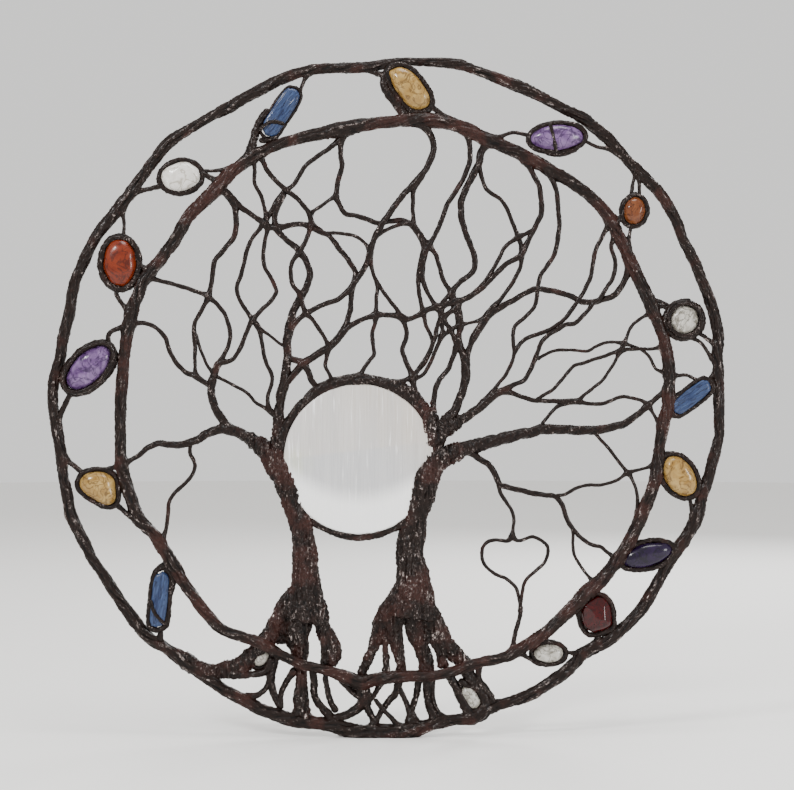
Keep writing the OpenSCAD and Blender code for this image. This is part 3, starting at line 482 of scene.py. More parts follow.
def coated_wire_tree():
    """Sweeps a bundle of twisted strands along each route and coats it with crumpled clay."""
    tree, mesh, given = new_tree("Coated wire", WIRE_INPUTS)
    place = node(tree, "GeometryNodeInputPosition")
    route = bent_route(tree, mesh, given)
    gone = node(tree, "GeometryNodeSplineParameter", out="Length")
    radius = kept(tree, "radius_of") * given["Swell"]
    whole = node(tree, "GeometryNodeSplineLength", out="Length")
    closed = node(tree, "GeometryNodeInputSplineCyclic")
    from_end = ramp(gone.math("MINIMUM", whole - gone) / radius, 0.0, 1.2, 1.0, 0.0, smooth=False)
    rounded = (1.0 - from_end * from_end * 0.97).math("SQRT").math("MAXIMUM", closed)
    route, core = capture(tree, route, place)
    route, along = capture(tree, route, combine(tree, gone, 0.0, 0.0))

    # The sweep. A point's ring place is (cosine, sine) of its angle round the wire.
    circle, ring = capture(tree, unit_circle(tree, given), place)
    tube = node(tree, "GeometryNodeCurveToMesh", route, circle, radius * rounded, True)

    # Places on the coat: angle and length are turned by the twist, and lengths are in metres.
    across, depth, _ = separate(ring)
    far = separate(along)[0]
    turn = (far * given["Twist"]) * math.tau
    angle = depth.math("ARCTAN2", across) + turn
    wander = grain(combine(tree, far, given["Seed"], 0.0), 22 * MM, 1.0)
    angle = angle + wander * 3.0
    about_x = angle.math("COSINE")
    about_y = angle.math("SINE")

    def on_coat(size, stretch):
        """Coordinates on the coat in features of this size, stretched along the wire."""
        return combine(tree, about_x * radius / size, about_y * radius / size,
                       (far / size) / stretch + given["Seed"])

    def round_coat(turns, run):
        """Coordinates with so many features round the wire, each as long as run."""
        return combine(tree, about_x * turns, about_y * turns, far / run + given["Seed"])

    strand = (angle * given["Strands"] * 0.5).math("COSINE").math("ABSOLUTE")
    strand = strand.math("POWER", 0.6)
    filled = grain(round_coat(0.8, 16 * MM), 1.0, 1.0)
    open_groove = ramp(filled, 0.3, 0.6, 0.25, 1.0)
    fibre = ridged(grain(round_coat(2.6, 14 * MM), 1.0, 2.0))
    lump = grain(place, given["Lump Size"], 2.0) * 2.0 - 1.0
    crumple = ridged(grain(on_coat(given["Crumple Size"], given["Stretch"]), 1.0, 2.0, 0.55, 0.6))

    grown = (strand - 1.0) * given["Groove"] * open_groove
    grown = grown + (fibre - 0.6) * given["Fibre"] + lump * given["Lump"]
    thickness = (crumple - 0.5) * given["Crumple"] + gathered_clay(tree, given)
    spoke = flattened_spoke(tree, place, core)
    outward = vector_node(tree, "NORMALIZE", spoke)
    moved = vector_node(tree, "ADD", core, scaled(spoke, grown + 1.0))
    moved = vector_node(tree, "ADD", moved, scaled(outward, thickness))

    # How proud each point stands, for the silver rub and the painted highlights on the crests.
    crest = (strand - 0.8) * open_groove * 0.45 + (fibre - 0.5) * 0.35 + (crumple - 0.5) * 0.65
    give_back(tree, set_in_box(tree, tube, moved, crest + 0.5, given))
    return tree


def plain_tube_tree():
    """Sweeps a plain closed tube along each route, to be melted together and worked as bark."""
    tree, mesh, given = new_tree("Plain tube", TUBE_INPUTS)
    place = node(tree, "GeometryNodeInputPosition")
    route, core = capture(tree, bent_route(tree, mesh, given), place)
    tube = node(tree, "GeometryNodeCurveToMesh", route, unit_circle(tree, given),
                kept(tree, "radius_of"), True)
    moved = vector_node(tree, "ADD", core, flattened_spoke(tree, place, core))
    tube = node(tree, "GeometryNodeSetPosition", named={"Geometry": tube, "Position": moved})
    give_back(tree, tube)
    return tree


def bark_tree():
    """Works smooth clay into bark: upright strips, crumples, pimples and lumps."""
    tree, clay, given = new_tree("Bark", BARK_INPUTS)
    place = node(tree, "GeometryNodeInputPosition")
    outward = node(tree, "GeometryNodeInputNormal")

    def upright(size, squeeze):
        """Places in features of this size, drawn out along the height."""
        return vector_node(tree, "MULTIPLY", scaled(place, 1.0 / given[size]), (1.0, 1.0, squeeze))

    strip = ridged(grain(upright("Strip Size", 0.14), 1.0, 2.0, 0.5, 0.4))
    lump = spread(grain(upright("Lump Size", 0.7), 1.0, 1.0)) - 0.5
    crumple = ridged(grain(upright("Crumple Size", 0.36), 1.0, 2.0, 0.55, 0.9))
    cell = node(tree, "ShaderNodeTexVoronoi", out="Distance", feature="SMOOTH_F1", named={
        "Vector": upright("Pimple Size", 0.7), "Scale": 1.0, "Smoothness": 0.35})
    pimple = ramp(cell, 0.15, 0.75, 1.0, 0.0)
    rise = (strip - 0.7) * given["Strip"] + lump * given["Lump"]
    rise = rise + (crumple - 0.55) * given["Crumple"] + (pimple - 0.6) * given["Pimple"]
    rise = rise + gathered_clay(tree, given)
    moved = vector_node(tree, "ADD", place, scaled(outward, rise))
    crest = (strip - 0.5) * 0.45 + (crumple - 0.5) * 0.7 + (pimple - 0.5) * 0.25 + 0.5
    give_back(tree, set_in_box(tree, clay, moved, crest, given))
    return tree


def put_in_scene(name, mesh):
    made = bpy.data.objects.new(name, mesh)
    bpy.context.scene.collection.objects.link(made)
    return made


# Nodes whose boxes come this close are neighbours.
NEAR = 5 * MM


def neighbours(*names):
    """One mesh of the clay nodes near these, for the clay that gathers at the joins."""
    boxes = [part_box(name) for name in names]
    low = [min(box[0][i] for box in boxes) for i in range(3)]
    high = [max(box[1][i] for box in boxes) for i in range(3)]
    joined = bmesh.new()
    for other, source in sorted(frame["nodes"].items()):
        if other in names or other in STONES or other == "selenite_disc":
            continue
        other_low, other_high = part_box(other)
        if all(other_low[i] < high[i] + NEAR and other_high[i] > low[i] - NEAR for i in range(3)):
            joined.from_mesh(source.data)
    mesh = bpy.data.meshes.new(names[0] + "_neighbours")
    joined.to_mesh(mesh)
    joined.free()
    return put_in_scene(mesh.name, mesh)


def finish_piece(piece, *names):
    """Lets a piece ride, stand for its nodes and take their finish."""
    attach(piece, "root")
    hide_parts(*names)


def add_tree(host, label, make, sizes, **others):
    """Adds a tree as a modifier; its inputs come from the sizes of their name or the others."""
    modifier = host.modifiers.new(label, "NODES")
    modifier.node_group = bpy.data.node_groups.get(label) or make()
    for item in modifier.node_group.interface.items_tree:
        key = item.name.lower().replace(" ", "_")
        if item.in_out == "INPUT" and item.socket_type != "NodeSocketGeometry":
            value = others[key] if key in others else getattr(sizes, key)
            modifier[item.identifier] = float(value) if item.socket_type == "NodeSocketFloat" else value


def worked_mesh(name, host, *spares):
    """The host's mesh with its modifiers worked in; the host and the spares are cleared away."""
    bpy.context.view_layer.update()
    shown = host.evaluated_get(bpy.context.evaluated_depsgraph_get())
    mesh = bpy.data.meshes.new_from_object(shown)
    mesh.name = name
    host.modifiers.clear()
    for spare in (host, *spares):
        data = spare.data
        bpy.data.objects.remove(spare)
        bpy.data.meshes.remove(data)
    for key in ("radius_of", "flat_of"):
        if key in mesh.attributes:
            mesh.attributes.remove(mesh.attributes[key])
    if not mesh.polygons:
        raise RuntimeError(f"{name} came out empty")
    return mesh


def coat(name, routes, sizes, material, seed):
    """Makes the coated wire of one node from its routes."""
    host = put_in_scene(name + "_routes", route_mesh(name + "_routes", routes))
    others = neighbours(name)
    add_tree(host, "Coated wire", coated_wire_tree, sizes, joins=others, low_corner=CAD_LOW,
             high_corner=CAD_HIGH, seed=seed, material=material)
    finish_piece(put_in_scene(name + "_clay", worked_mesh(name + "_clay", host, others)), name)


# Depth of the trunks and roots against their width.
FLATNESS = 0.8
# A root thicker than this starts inside the trunk, this much higher up.
THICK_ROOT = 3 * MM
ROOT_CLIMB = 14 * MM


def work_bark(trunk, roots, sizes, material):
    """Melts a trunk, its roots and the starts of its limbs into one piece, and works its bark."""
    trunks = open_routes(trunk, FLATNESS)
    feet = [foot if foot[0][0].z > foot[-1][0].z else foot[::-1]
            for foot in open_routes(roots, FLATNESS)]
    feet = [run_into(trunks, foot, ROOT_CLIMB, 0.8) if foot[0][1] > THICK_ROOT else foot
            for foot in feet]
    routes = [(route, False, FLATNESS) for route in trunks + feet]
    routes += [(route, False, 1.0) for route in stubs(trunks)]
    host = put_in_scene(trunk + "_routes", route_mesh(trunk + "_routes", routes))
    others = neighbours(trunk, roots)
    add_tree(host, "Plain tube", plain_tube_tree, sizes)
    melt = host.modifiers.new("Melt", "REMESH")
    melt.mode = "VOXEL"
    melt.voxel_size = sizes.grain
    ease = host.modifiers.new("Ease", "SMOOTH")
    ease.factor = 0.5
    ease.iterations = sizes.ease
    add_tree(host, "Bark", bark_tree, sizes, joins=others, low_corner=CAD_LOW,
             high_corner=CAD_HIGH, material=material)
    mesh = worked_mesh(trunk + "_clay", host, others)
    finish_piece(put_in_scene(trunk + "_clay", mesh), trunk, roots)


# ---- Sizes and colours ------------------------------------------------------------------------

def length(name, about, size):
    return FloatProperty(name=name, description=about, default=size, min=0.0, unit="LENGTH",
                         precision=5)


def share(name, about, size, most=1.0):
    return FloatProperty(name=name, description=about, default=size, min=0.0, max=most)


def colour(name, about, value):
    return FloatVectorProperty(name=name, description=about, default=value, size=3, min=0.0,
                               max=1.0, subtype="COLOR")


# What each kind of coated wire is made with: lengths, other numbers with the most that each may be,
# and whole numbers with the least.
WIRE_LENGTHS = {
    "spacing": "Step between cross-sections",
    "lump_size": "Size of the lumps of clay",
    "crumple": "Height of the crumpled clay",
    "crumple_size": "Size of the crumples",
    "wobble": "How far the wire wanders as it is bent by hand",
    "wobble_size": "Length of one wander",
    "join_reach": "How far the clay gathers from a join",
}
WIRE_SHARES = {
    "swell": ("Thickness against the bare tube's", 2.0),
    "twist": ("Turns of the strands in a metre", 100.0),
    "groove": ("Depth between strands, against the radius", 1.0),
    "fibre": ("Height of the lengthwise crests, against the radius", 1.0),
    "lump": ("Height of the lumps of clay, against the radius", 1.0),
    "stretch": ("How much longer than wide the crumples are", 10.0),
}
WIRE_COUNTS = {"sides": ("Corners of a cross-section", 6), "strands": ("Wires twisted together", 1)}


def coated_wire_sizes(label, about, wobble_size=14.0, **given):
    """A PropertyGroup with the sizes of one kind of coated wire, given in millimetres."""
    given["wobble_size"] = wobble_size
    fields = {}
    for key, size in given.items():
        name = key.replace("_", " ").title()
        if key in WIRE_LENGTHS:
            fields[key] = length(name, WIRE_LENGTHS[key], size * MM)
        elif key in WIRE_SHARES:
            fields[key] = share(name, WIRE_SHARES[key][0], size, WIRE_SHARES[key][1])
        else:
            what, least = WIRE_COUNTS[key]
            fields[key] = IntProperty(name=name, description=what, default=size, min=least)
    return type(label, (PropertyGroup,), {"__doc__": about, "__annotations__": fields})


HoopWire = coated_wire_sizes(
    "HoopWire", "The two hoops: thick bundles with a slow twist.",
    spacing=0.7, sides=44, swell=1.0, strands=5, twist=8.0, groove=0.34, fibre=0.26, lump=0.12,
    lump_size=9.0, crumple=0.5, crumple_size=1.3, stretch=3.5, wobble=0.7, join_reach=3.5)
StrandWire = coated_wire_sizes(
    "StrandWire", "The lattice of clay strands and the moon's ring.",
    spacing=0.4, sides=28, swell=1.15, strands=3, twist=20.0, groove=0.25, fibre=0.2, lump=0.3,
    lump_size=4.5, crumple=0.55, crumple_size=1.1, stretch=2.0, wobble=0.7, join_reach=4.5)
TwigWire = coated_wire_sizes(
    "TwigWire", "The limbs and twigs: two or three wires twisted and thinly coated.",
    spacing=0.5, sides=18, swell=1.0, strands=3, twist=40.0, groove=0.32, fibre=0.14, lump=0.2,
    lump_size=4.5, crumple=0.22, crumple_size=0.9, stretch=2.5, wobble=0.8, join_reach=3.2)
GripWire = coated_wire_sizes(
    "GripWire", "The settings: thin wire and clay round each stone.",
    spacing=0.4, sides=20, swell=1.1, strands=2, twist=25.0, groove=0.22, fibre=0.16, lump=0.36,
    lump_size=3.0, crumple=0.35, crumple_size=0.9, stretch=1.8, wobble=0.3, join_reach=3.2)
WIRE_KINDS = (HoopWire, StrandWire, TwigWire, GripWire)


class Bark(PropertyGroup):
    """The bark of the trunks and roots."""

    spacing: length("Spacing", "Step between cross-sections before melting", 1 * MM)
    sides: IntProperty(name="Sides", description="Corners of a cross-section", default=32, min=6)
    grain: length("Grain", "Size of the surface's finest squares", 0.38 * MM)
    ease: IntProperty(name="Ease", description="Passes that melt the joins together", default=24, min=0)
    strip: length("Strip", "Height of the long upright strips", 1.1 * MM)
    strip_size: length("Strip Size", "Width of the strips", 2.8 * MM)
    lump: length("Lump", "Height of the lumps", 1.2 * MM)
    lump_size: length("Lump Size", "Size of the lumps", 8 * MM)
    crumple: length("Crumple", "Height of the crumpled clay", 0.7 * MM)
    crumple_size: length("Crumple Size", "Size of the crumples", 1.5 * MM)
    pimple: length("Pimple", "Height of the pimples", 0.4 * MM)
    pimple_size: length("Pimple Size", "Size of the pimples", 1.6 * MM)
    wobble: length("Wobble", "How far the wire wanders as it is bent by hand", 0.6 * MM)
    wobble_size: length("Wobble Size", "Length of one wander", 14 * MM)
    join_reach: length("Join Reach", "How far the clay gathers from a join", 5 * MM)


class StoneSizes(PropertyGroup):
    """How finely the stones are shaped."""

    around: IntProperty(name="Around", description="Points round a stone", default=84, min=12)
    levels: IntProperty(name="Levels", description="Rings from front to back", default=36, min=6)


class PlateSizes(PropertyGroup):
    """The selenite plate."""

    columns: IntProperty(name="Columns", description="Columns across the plate", default=260, min=16)
    rows: IntProperty(name="Rows", description="Rows up the plate", default=72, min=8)
    edge: length("Edge", "Radius of the rounded edge", 1.2 * MM)
    fibre: length("Fibre", "Height of the upright fibres", 0.09 * MM)
    cleavage: length("Cleavage", "Depth of the cleavage step", 0.22 * MM)


class ClayColours(PropertyGroup):
    """Colours of the clay and of what is rubbed on it."""

    dark: colour("Dark clay", "The clay in the hollows", (0.0012, 0.0007, 0.0006))
    brown: colour("Brown clay", "The clay between the patches", (0.0100, 0.0048, 0.0034))
    red: colour("Red clay", "The copper-red patches", (0.036, 0.0125, 0.0095))
    # silver is also the colour of the painted highlights on the crests.
    silver: colour("Silver", "The silver rubbed on the crests", (0.75, 0.64, 0.60))


class StageSizes(PropertyGroup):
    """Floor, light and camera."""

    floor_radius: length("Floor radius", "Radius of the pale floor", 3.0)
    camera_distance: length("Camera distance", "How far the camera stands in front", 1.0)
    seen_width: length("Seen width", "Width that the camera sees at the tree", 0.397)
    key_power: FloatProperty(name="Key power", description="Power of the key light",
                             default=12.0, min=0.0, unit="POWER")


class ClayTree(PropertyGroup):
    """All the sizes and colours of the tree."""

    hoops: PointerProperty(type=HoopWire)
    bark: PointerProperty(type=Bark)
    strands: PointerProperty(type=StrandWire)
    twigs: PointerProperty(type=TwigWire)
    grips: PointerProperty(type=GripWire)
    stones: PointerProperty(type=StoneSizes)
    plate: PointerProperty(type=PlateSizes)
    clay: PointerProperty(type=ClayColours)
    stage: PointerProperty(type=StageSizes)


# ---- Materials --------------------------------------------------------------------------------

def new_material(name):
    """A material with one Principled shader; returns it with its tree and shader."""
    made = bpy.data.materials.new(name)
    made.use_nodes = True
    return made, made.node_tree, made.node_tree.nodes["Principled BSDF"]


def polish(shader, finish):
    """Feeds the shader's inputs, given by name."""
    for name, value in finish.items():
        feed(shader.id_data, shader.inputs[name], value)


def object_place(tree):
    return node(tree, "ShaderNodeTexCoord", out="Object")


def mix_colour(amount, first, second):
    """Two colours mixed by an amount; a colour is a Field or three numbers."""
    made = amount.tree.nodes.new("ShaderNodeMix")
    made.data_type = "RGBA"
    colours = [s for s in made.inputs if s.type == "RGBA"]
    feed(amount.tree, made.inputs["Factor"], amount)
    for socket, value in zip(colours, (first, second)):
        feed(amount.tree, socket, value if isinstance(value, Field) else (*value, 1.0))
    return Field(amount.tree, next(s for s in made.outputs if s.type == "RGBA"))


def bump(height, distance, strength=1.0):
    return node(height.tree, "ShaderNodeBump", out="Normal",
                named={"Height": height, "Distance": distance, "Strength": strength})


def clay_material(slot):
    """Dark clay with copper-red patches and silver on its crests."""
    colours = bpy.context.scene.clay_tree.clay
    redness = CLAY_REDNESS[slot]
    made, tree, shader = new_material(slot + FINISH)
    place = object_place(tree)
    crest = node(tree, "ShaderNodeAttribute", out="Fac", attribute_name="crest")
    patch = ramp(grain(place, 13 * MM, 3.0), 0.62 - 0.22 * redness, 0.8 - 0.22 * redness)
    fine = grain(place, 0.9 * MM, 3.0, 0.6)
    base = mix_colour(ramp(crest, 0.1, 0.75), colours.dark, colours.brown)
    base = mix_colour(patch * ramp(fine, 0.3, 0.7, 0.4, 1.0), base, colours.red)
    # Painted highlight: the silver on the crests is partly a real silver rub and partly painted glints
    # of light, and line draws those glints as thin lines along the ridges.
    rub_and_glint_patches = ramp(grain(place, 7 * MM, 2.0), 0.4, 0.66, 0.08, 0.7)
    line = ridged(grain(place, 1.6 * MM, 2.0, 0.55, 1.2))
    rubbed_and_glint_painted = ramp(crest + (line - 0.5) * 0.5, 0.95, 1.28) * rub_and_glint_patches
    polish(shader, {
        # The crests go silver: part silver rub, part painted highlight.
        "Base Color": mix_colour(rubbed_and_glint_painted, base, colours.silver),
        "Metallic": rubbed_and_glint_painted * 0.7,
        "Roughness": ramp(crest, 0.2, 0.9, 0.55, 0.3) - rubbed_and_glint_painted * 0.08,
        "Normal": bump(grain(place, 0.45 * MM, 3.0, 0.6), 0.08 * MM, 0.6),
        "Specular IOR Level": 0.14, "Coat Weight": 0.05, "Coat Roughness": 0.12,
    })
    return made


# How much of each clay is copper-red.
CLAY_REDNESS = {"wire_clay": 0.25, "hoop_clay": 0.4, "trunk_clay": 0.8}
FINISH = "_finish"


def finish_of(name, make):
    """The material of a node's slot, made the first time that it is asked for."""
    slot = SLOT_OF[name]
    return bpy.data.materials.get(slot + FINISH) or make(slot)


def clay_of(name):
    return finish_of(name, clay_material)


# How one kind of stone is coloured, polished and shaped. The first three are colours.
Gem = namedtuple("Gem", "base second third streak size clear rough square lumps ribs facets",
                 defaults=(1.0, 5.0, 0.0, 0.14, 1.0, 0.06, 0.0, 0.0))
GEMS = {
    "citrine": Gem((0.20, 0.105, 0.020), (0.38, 0.25, 0.085), (0.06, 0.025, 0.006), size=4.5),
    "amethyst": Gem((0.042, 0.012, 0.070), (0.20, 0.12, 0.26), (0.010, 0.002, 0.022), size=5),
    "dark_amethyst": Gem((0.003, 0.0008, 0.008), (0.014, 0.005, 0.030), (0.001, 0.0005, 0.003),
                         size=6),
    "carnelian": Gem((0.085, 0.020, 0.005), (0.17, 0.055, 0.018), (0.02, 0.004, 0.001), size=4),
    "quartz": Gem((0.27, 0.25, 0.21), (0.58, 0.56, 0.51), (0.06, 0.05, 0.035), size=4.0,
                  clear=0.1),
    "kyanite": Gem((0.006, 0.014, 0.055), (0.040, 0.070, 0.155), (0.001, 0.003, 0.016), streak=0.14,
                   size=1.4, rough=0.3, square=0.45, lumps=0.05, ribs=0.35),
    "garnet": Gem((0.020, 0.0004, 0.0006), (0.050, 0.001, 0.0015), (0.004, 0.0002, 0.0003), size=3,
                  rough=0.06, lumps=0.04, facets=0.86),
    "jasper": Gem((0.105, 0.0095, 0.001), (0.16, 0.02, 0.003), (0.03, 0.003, 0.001), size=5,
                  rough=0.2),
    "moonstone": Gem((0.60, 0.57, 0.52), (0.82, 0.80, 0.76), (0.27, 0.23, 0.17), size=6,
                     clear=0.1),
}


def gem_material(slot):
    """A polished stone with cloudy patches, darker veins and a few pale flaws."""
    gem = GEMS[slot]
    made, tree, shader = new_material(slot + FINISH)
    place = node(tree, "ShaderNodeAttribute", out="Vector", attribute_name="in_stone")
    place = vector_node(tree, "MULTIPLY", place, (1.0, 1.0, gem.streak))
    cloud = spread(grain(place, gem.size * MM, 3.0, 0.55, 0.8))
    vein = ramp(ridged(grain(place, 1.5 * gem.size * MM, 2.0, 0.5, 1.5)), 0.75, 0.98)
    flaw = ramp(grain(place, 0.3 * gem.size * MM, 2.0), 0.62, 0.72)
    colour_of = mix_colour(cloud, gem.base, gem.second)
    colour_of = mix_colour(vein * 0.7, colour_of, gem.third)
    colour_of = mix_colour(flaw * 0.35, colour_of, gem.second)
    polish(shader, {
        "Base Color": colour_of,
        "Roughness": cloud * 0.1 + gem.rough,
        "Normal": bump(grain(place, 0.8 * MM, 2.0), 0.06 * MM, 0.35 + 0.4 * gem.ribs),
        "Transmission Weight": gem.clear, "IOR": 1.54, "Specular IOR Level": 0.25,
        "Coat Weight": 0.12, "Coat Roughness": 0.05,
    })
    return made


def ring_point(outline, turn):
    """A point of the smooth closed curve through the outline, at this share of a turn."""
    count = len(outline)
    step = turn % 1.0 * count
    at = int(step)
    part = step - at
    before, here, ahead, beyond = (outline[(at + i) % count] for i in (-1, 0, 1, 2))
    return 0.5 * (2 * here + (ahead - before) * part
                  + (2 * before - 5 * here + 4 * ahead - beyond) * part ** 2
                  + (3 * here - before - 3 * ahead + beyond) * part ** 3)


# How many flat faces are cut on a stone that is cut, and the seed that turns them.
CUTS = 16
CUT_SEED = 11


def finish_stone(name, made, material, stands_for):
    """Turns worked faces into a smooth finished piece."""
    bmesh.ops.recalc_face_normals(made, faces=made.faces)
    for face in made.faces:
        face.smooth = True
    mesh = bpy.data.meshes.new(name)
    made.to_mesh(mesh)
    made.free()
    mesh.materials.append(material)
    finish_piece(put_in_scene(name, mesh), stands_for)


def tumbled_stone(name, around, levels):
    """A stone of the outline in the frame, domed front and back, with its own lumps and ribs."""
    gem = GEMS[SLOT_OF[name]]
    hub, half, outline = stone_shape(name)
    low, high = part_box(name)
    seed = Vector((STONES.index(name) * 7.3, 1.7, 4.1))
    noise.seed_set(CUT_SEED)
    long_way = max((corner - hub for corner in outline), key=lambda spoke: spoke.length).normalized()
    cross_way = Vector((-long_way.z, 0.0, long_way.x))
    rims = [ring_point(outline, i / around) - hub for i in range(around)]
    across = max(spoke.length for spoke in rims)
    cuts = [noise.random_unit_vector() for _ in range(CUTS)] if gem.facets else []

    made = bmesh.new()
    in_stone = made.verts.layers.float_vector.new("in_stone")

    def add(level, spoke):
        lean = math.radians(90.0) * level
        rise = math.copysign(abs(math.sin(lean)) ** (0.9 * gem.square + 0.1), level)
        reach = abs(math.cos(lean)) ** (0.62 * gem.square)
        place = spoke * reach + Vector((0.0, half * rise, 0.0))
        way = place / across * 2.2 + seed
        swell = 1.0 + gem.lumps * noise.noise(way) - gem.lumps * 0.5
        place *= min(swell, 1.0)
        for way in cuts:
            limit = gem.facets * math.hypot(across * math.hypot(way.x, way.z), half * way.y)
            place -= way * max(0.0, place.dot(way) - limit)
        if gem.ribs:
            side = place.dot(cross_way) / MM
            rib = noise.noise(Vector((side * 1.5, place.dot(long_way) / MM * 0.06, seed.x)))
            place.y -= math.copysign(gem.ribs * MM * (0.5 - rib), place.y) * abs(math.sin(lean))
            place -= long_way * (place.dot(long_way) * 0.05 * (0.5 + noise.noise(
                Vector((side * 0.9, 0.0, seed.x + 3.0)))) * reach)
        place += hub
        place = Vector([min(max(place[i], low[i]), high[i]) for i in range(3)])
        vert = made.verts.new(place)
        spot = place - hub
        vert[in_stone] = Vector((spot.dot(cross_way), spot.y, spot.dot(long_way))) + seed * MM * 40
        return vert

    rows = [[add(2.0 * i / levels - 1.0, spoke) for spoke in rims] for i in range(1, levels)]
    front, back = add(-1.0, Vector()), add(1.0, Vector())
    for i in range(around):
        j = (i + 1) % around
        made.faces.new((front, rows[0][i], rows[0][j]))
        made.faces.new((back, rows[-1][j], rows[-1][i]))
        for row, ahead in zip(rows, rows[1:]):
            made.faces.new((row[i], ahead[i], ahead[j], row[j]))
    finish_stone(name + "_stone", made, finish_of(name, gem_material), name)


def selenite_material(hub):
    """Satin white selenite: upright fibres, pale streaks and a cooler half below the cleavage."""
    made, tree, shader = new_material("selenite" + FINISH)
    place = vector_node(tree, "SUBTRACT", object_place(tree), tuple(hub))
    fibre = spread(grain(vector_node(tree, "MULTIPLY", place, (1.0, 0.3, 0.03)), 0.7 * MM, 3.0))
    band = spread(grain(vector_node(tree, "MULTIPLY", place, (1.0, 0.3, 0.08)), 5 * MM, 2.0))
    streak = ramp(grain(vector_node(tree, "MULTIPLY", place, (1.0, 1.0, 0.05)), 1.1 * MM, 2.0),
                  0.62, 0.74)
    fleck = ramp(grain(place, 0.8 * MM, 2.0), 0.68, 0.76) * ramp(grain(place, 9 * MM, 1.0), 0.5, 0.6)
    x, _, z = separate(place)
    lower = ramp(z - x * 0.12, 5.5 * MM, 3.5 * MM, 0.0, 1.0)
    # Painted highlight: the satin spar's cat's-eye shine is painted as a near-white patch low on the
    # plate.
    painted_glow = ramp(z - (x * x) * 12.0, -13 * MM, -25 * MM, 0.0, 1.0)
    green = ramp(vector_node(tree, "LENGTH", vector_node(
        tree, "SUBTRACT", place, (-31 * MM, 0.0, -2 * MM))), 11 * MM, 4 * MM, 0.0, 0.55)
    warm = ramp(x + z, 5 * MM, 45 * MM, 0.0, 0.6)
    colour_of = mix_colour(lower, (0.56, 0.53, 0.50), (0.50, 0.50, 0.51))
    colour_of = mix_colour(warm, colour_of, (0.52, 0.45, 0.37))
    colour_of = mix_colour(fibre * 0.35, colour_of, (0.72, 0.71, 0.70))
    colour_of = mix_colour(band * 0.35, colour_of, (0.42, 0.42, 0.43))
    colour_of = mix_colour(green * band, colour_of, (0.56, 0.60, 0.33))
    colour_of = mix_colour(streak * 0.75 + fleck * 0.6, colour_of, (0.88, 0.88, 0.88))
    # The painted highlight low on the plate.
    colour_of = mix_colour(painted_glow * 0.9, colour_of, (0.97, 0.97, 0.96))
    polish(shader, {
        "Base Color": colour_of, "Roughness": fibre * 0.15 + 0.22,
        "Normal": bump(fibre, 0.12 * MM, 0.5), "Coat Weight": 0.3, "Coat Roughness": 0.15,
    })
    return made


def selenite_plate(sizes):
    """A round plate split along its fibres, with a rounded edge and a shallow cleavage step."""
    low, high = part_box("selenite_disc")
    hub = Vector([(low[i] + high[i]) / 2 for i in range(3)])
    radius = (high[0] - low[0]) / 2
    half = (high[1] - low[1]) / 2
    made = bmesh.new()
    columns, rows = sizes.columns, sizes.rows

    def depth(x, z):
        """How far the face stands back here."""
        inside = max(0.0, radius - math.hypot(x, z))
        edge = max(0.0, 1.0 - inside / sizes.edge)
        back = sizes.edge * (1.0 - math.sqrt(max(0.0, 1.0 - edge * edge)))
        fibre = noise.noise(Vector((x / (0.9 * MM), z / (60 * MM), 0.0)))
        fibre += 0.6 * noise.noise(Vector((x / (0.35 * MM), z / (30 * MM), 5.0)))
        step = min(1.0, max(0.0, (5 * MM - (z - 0.12 * x)) / (0.8 * MM)))
        return back + sizes.fibre * (0.8 + 0.5 * fibre) + sizes.cleavage * step

    def face_grid(side):
        grid = []
        for i in range(columns + 1):
            x = -radius * math.cos(math.pi * i / columns)
            tall = math.sqrt(max(0.0, radius * radius - x * x))
            if i in (0, columns):
                grid.append([made.verts.new(hub + Vector((x, side * (half - sizes.edge), 0.0)))])
                continue
            line = []
            for j in range(rows + 1):
                z = -tall * math.cos(math.pi * j / rows)
                y = half - (sizes.edge if j in (0, rows) else min(depth(x, z), half - 1 * MM))
                line.append(made.verts.new(hub + Vector((x, side * y, z))))
            grid.append(line)
        for line, ahead in zip(grid, grid[1:]):
            for j in range(rows):
                corners = [line[min(j, len(line) - 1)], ahead[min(j, len(ahead) - 1)],
                           ahead[min(j + 1, len(ahead) - 1)], line[min(j + 1, len(line) - 1)]]
                made.faces.new(list(dict.fromkeys(corners)))
        return grid

    front, back = face_grid(-1.0), face_grid(1.0)
    for end in (0, -1):
        rim = [(line[end], other[end]) for line, other in zip(front, back)]
        for (a, b), (c, d) in zip(rim, rim[1:]):
            made.faces.new((a, b, d, c))
    finish_stone("selenite_plate", made, selenite_material(hub), "selenite_disc")


# ---- Operators --------------------------------------------------------------------------------

HOOP_SEED = 3.0


def coat_nodes(names, sizes):
    """Coats the wires of these nodes, each with a seed of its own."""
    for seed, name in enumerate(names):
        routes = [(route, False, 1.0) for route in open_routes(name)]
        if name.endswith(SETTING):
            routes += [(route, True, 1.0) for route in bezel_routes(name[:-len(SETTING)])]
        coat(name, routes, sizes, clay_of(name), 10.0 * seed + len(name))


class CLAYTREE_OT_hoops(Operator):
    """Twist and coat the two hoops"""

    bl_idname = "clay_tree.hoops"
    bl_label = "Hoops"

    def execute(self, context):
        for seed, name in enumerate(HOOPS):
            routes = [(hoop_route(name), True, 1.0)]
            coat(name, routes, context.scene.clay_tree.hoops, clay_of(name), seed + HOOP_SEED)
        return {"FINISHED"}


class CLAYTREE_OT_trunks(Operator):
    """Model the bark of the trunks and the roots"""

    bl_idname = "clay_tree.trunks"
    bl_label = "Trunks and roots"

    def execute(self, context):
        for trunk, roots in TRUNKS.items():
            work_bark(trunk, roots, context.scene.clay_tree.bark, clay_of(trunk))
        return {"FINISHED"}


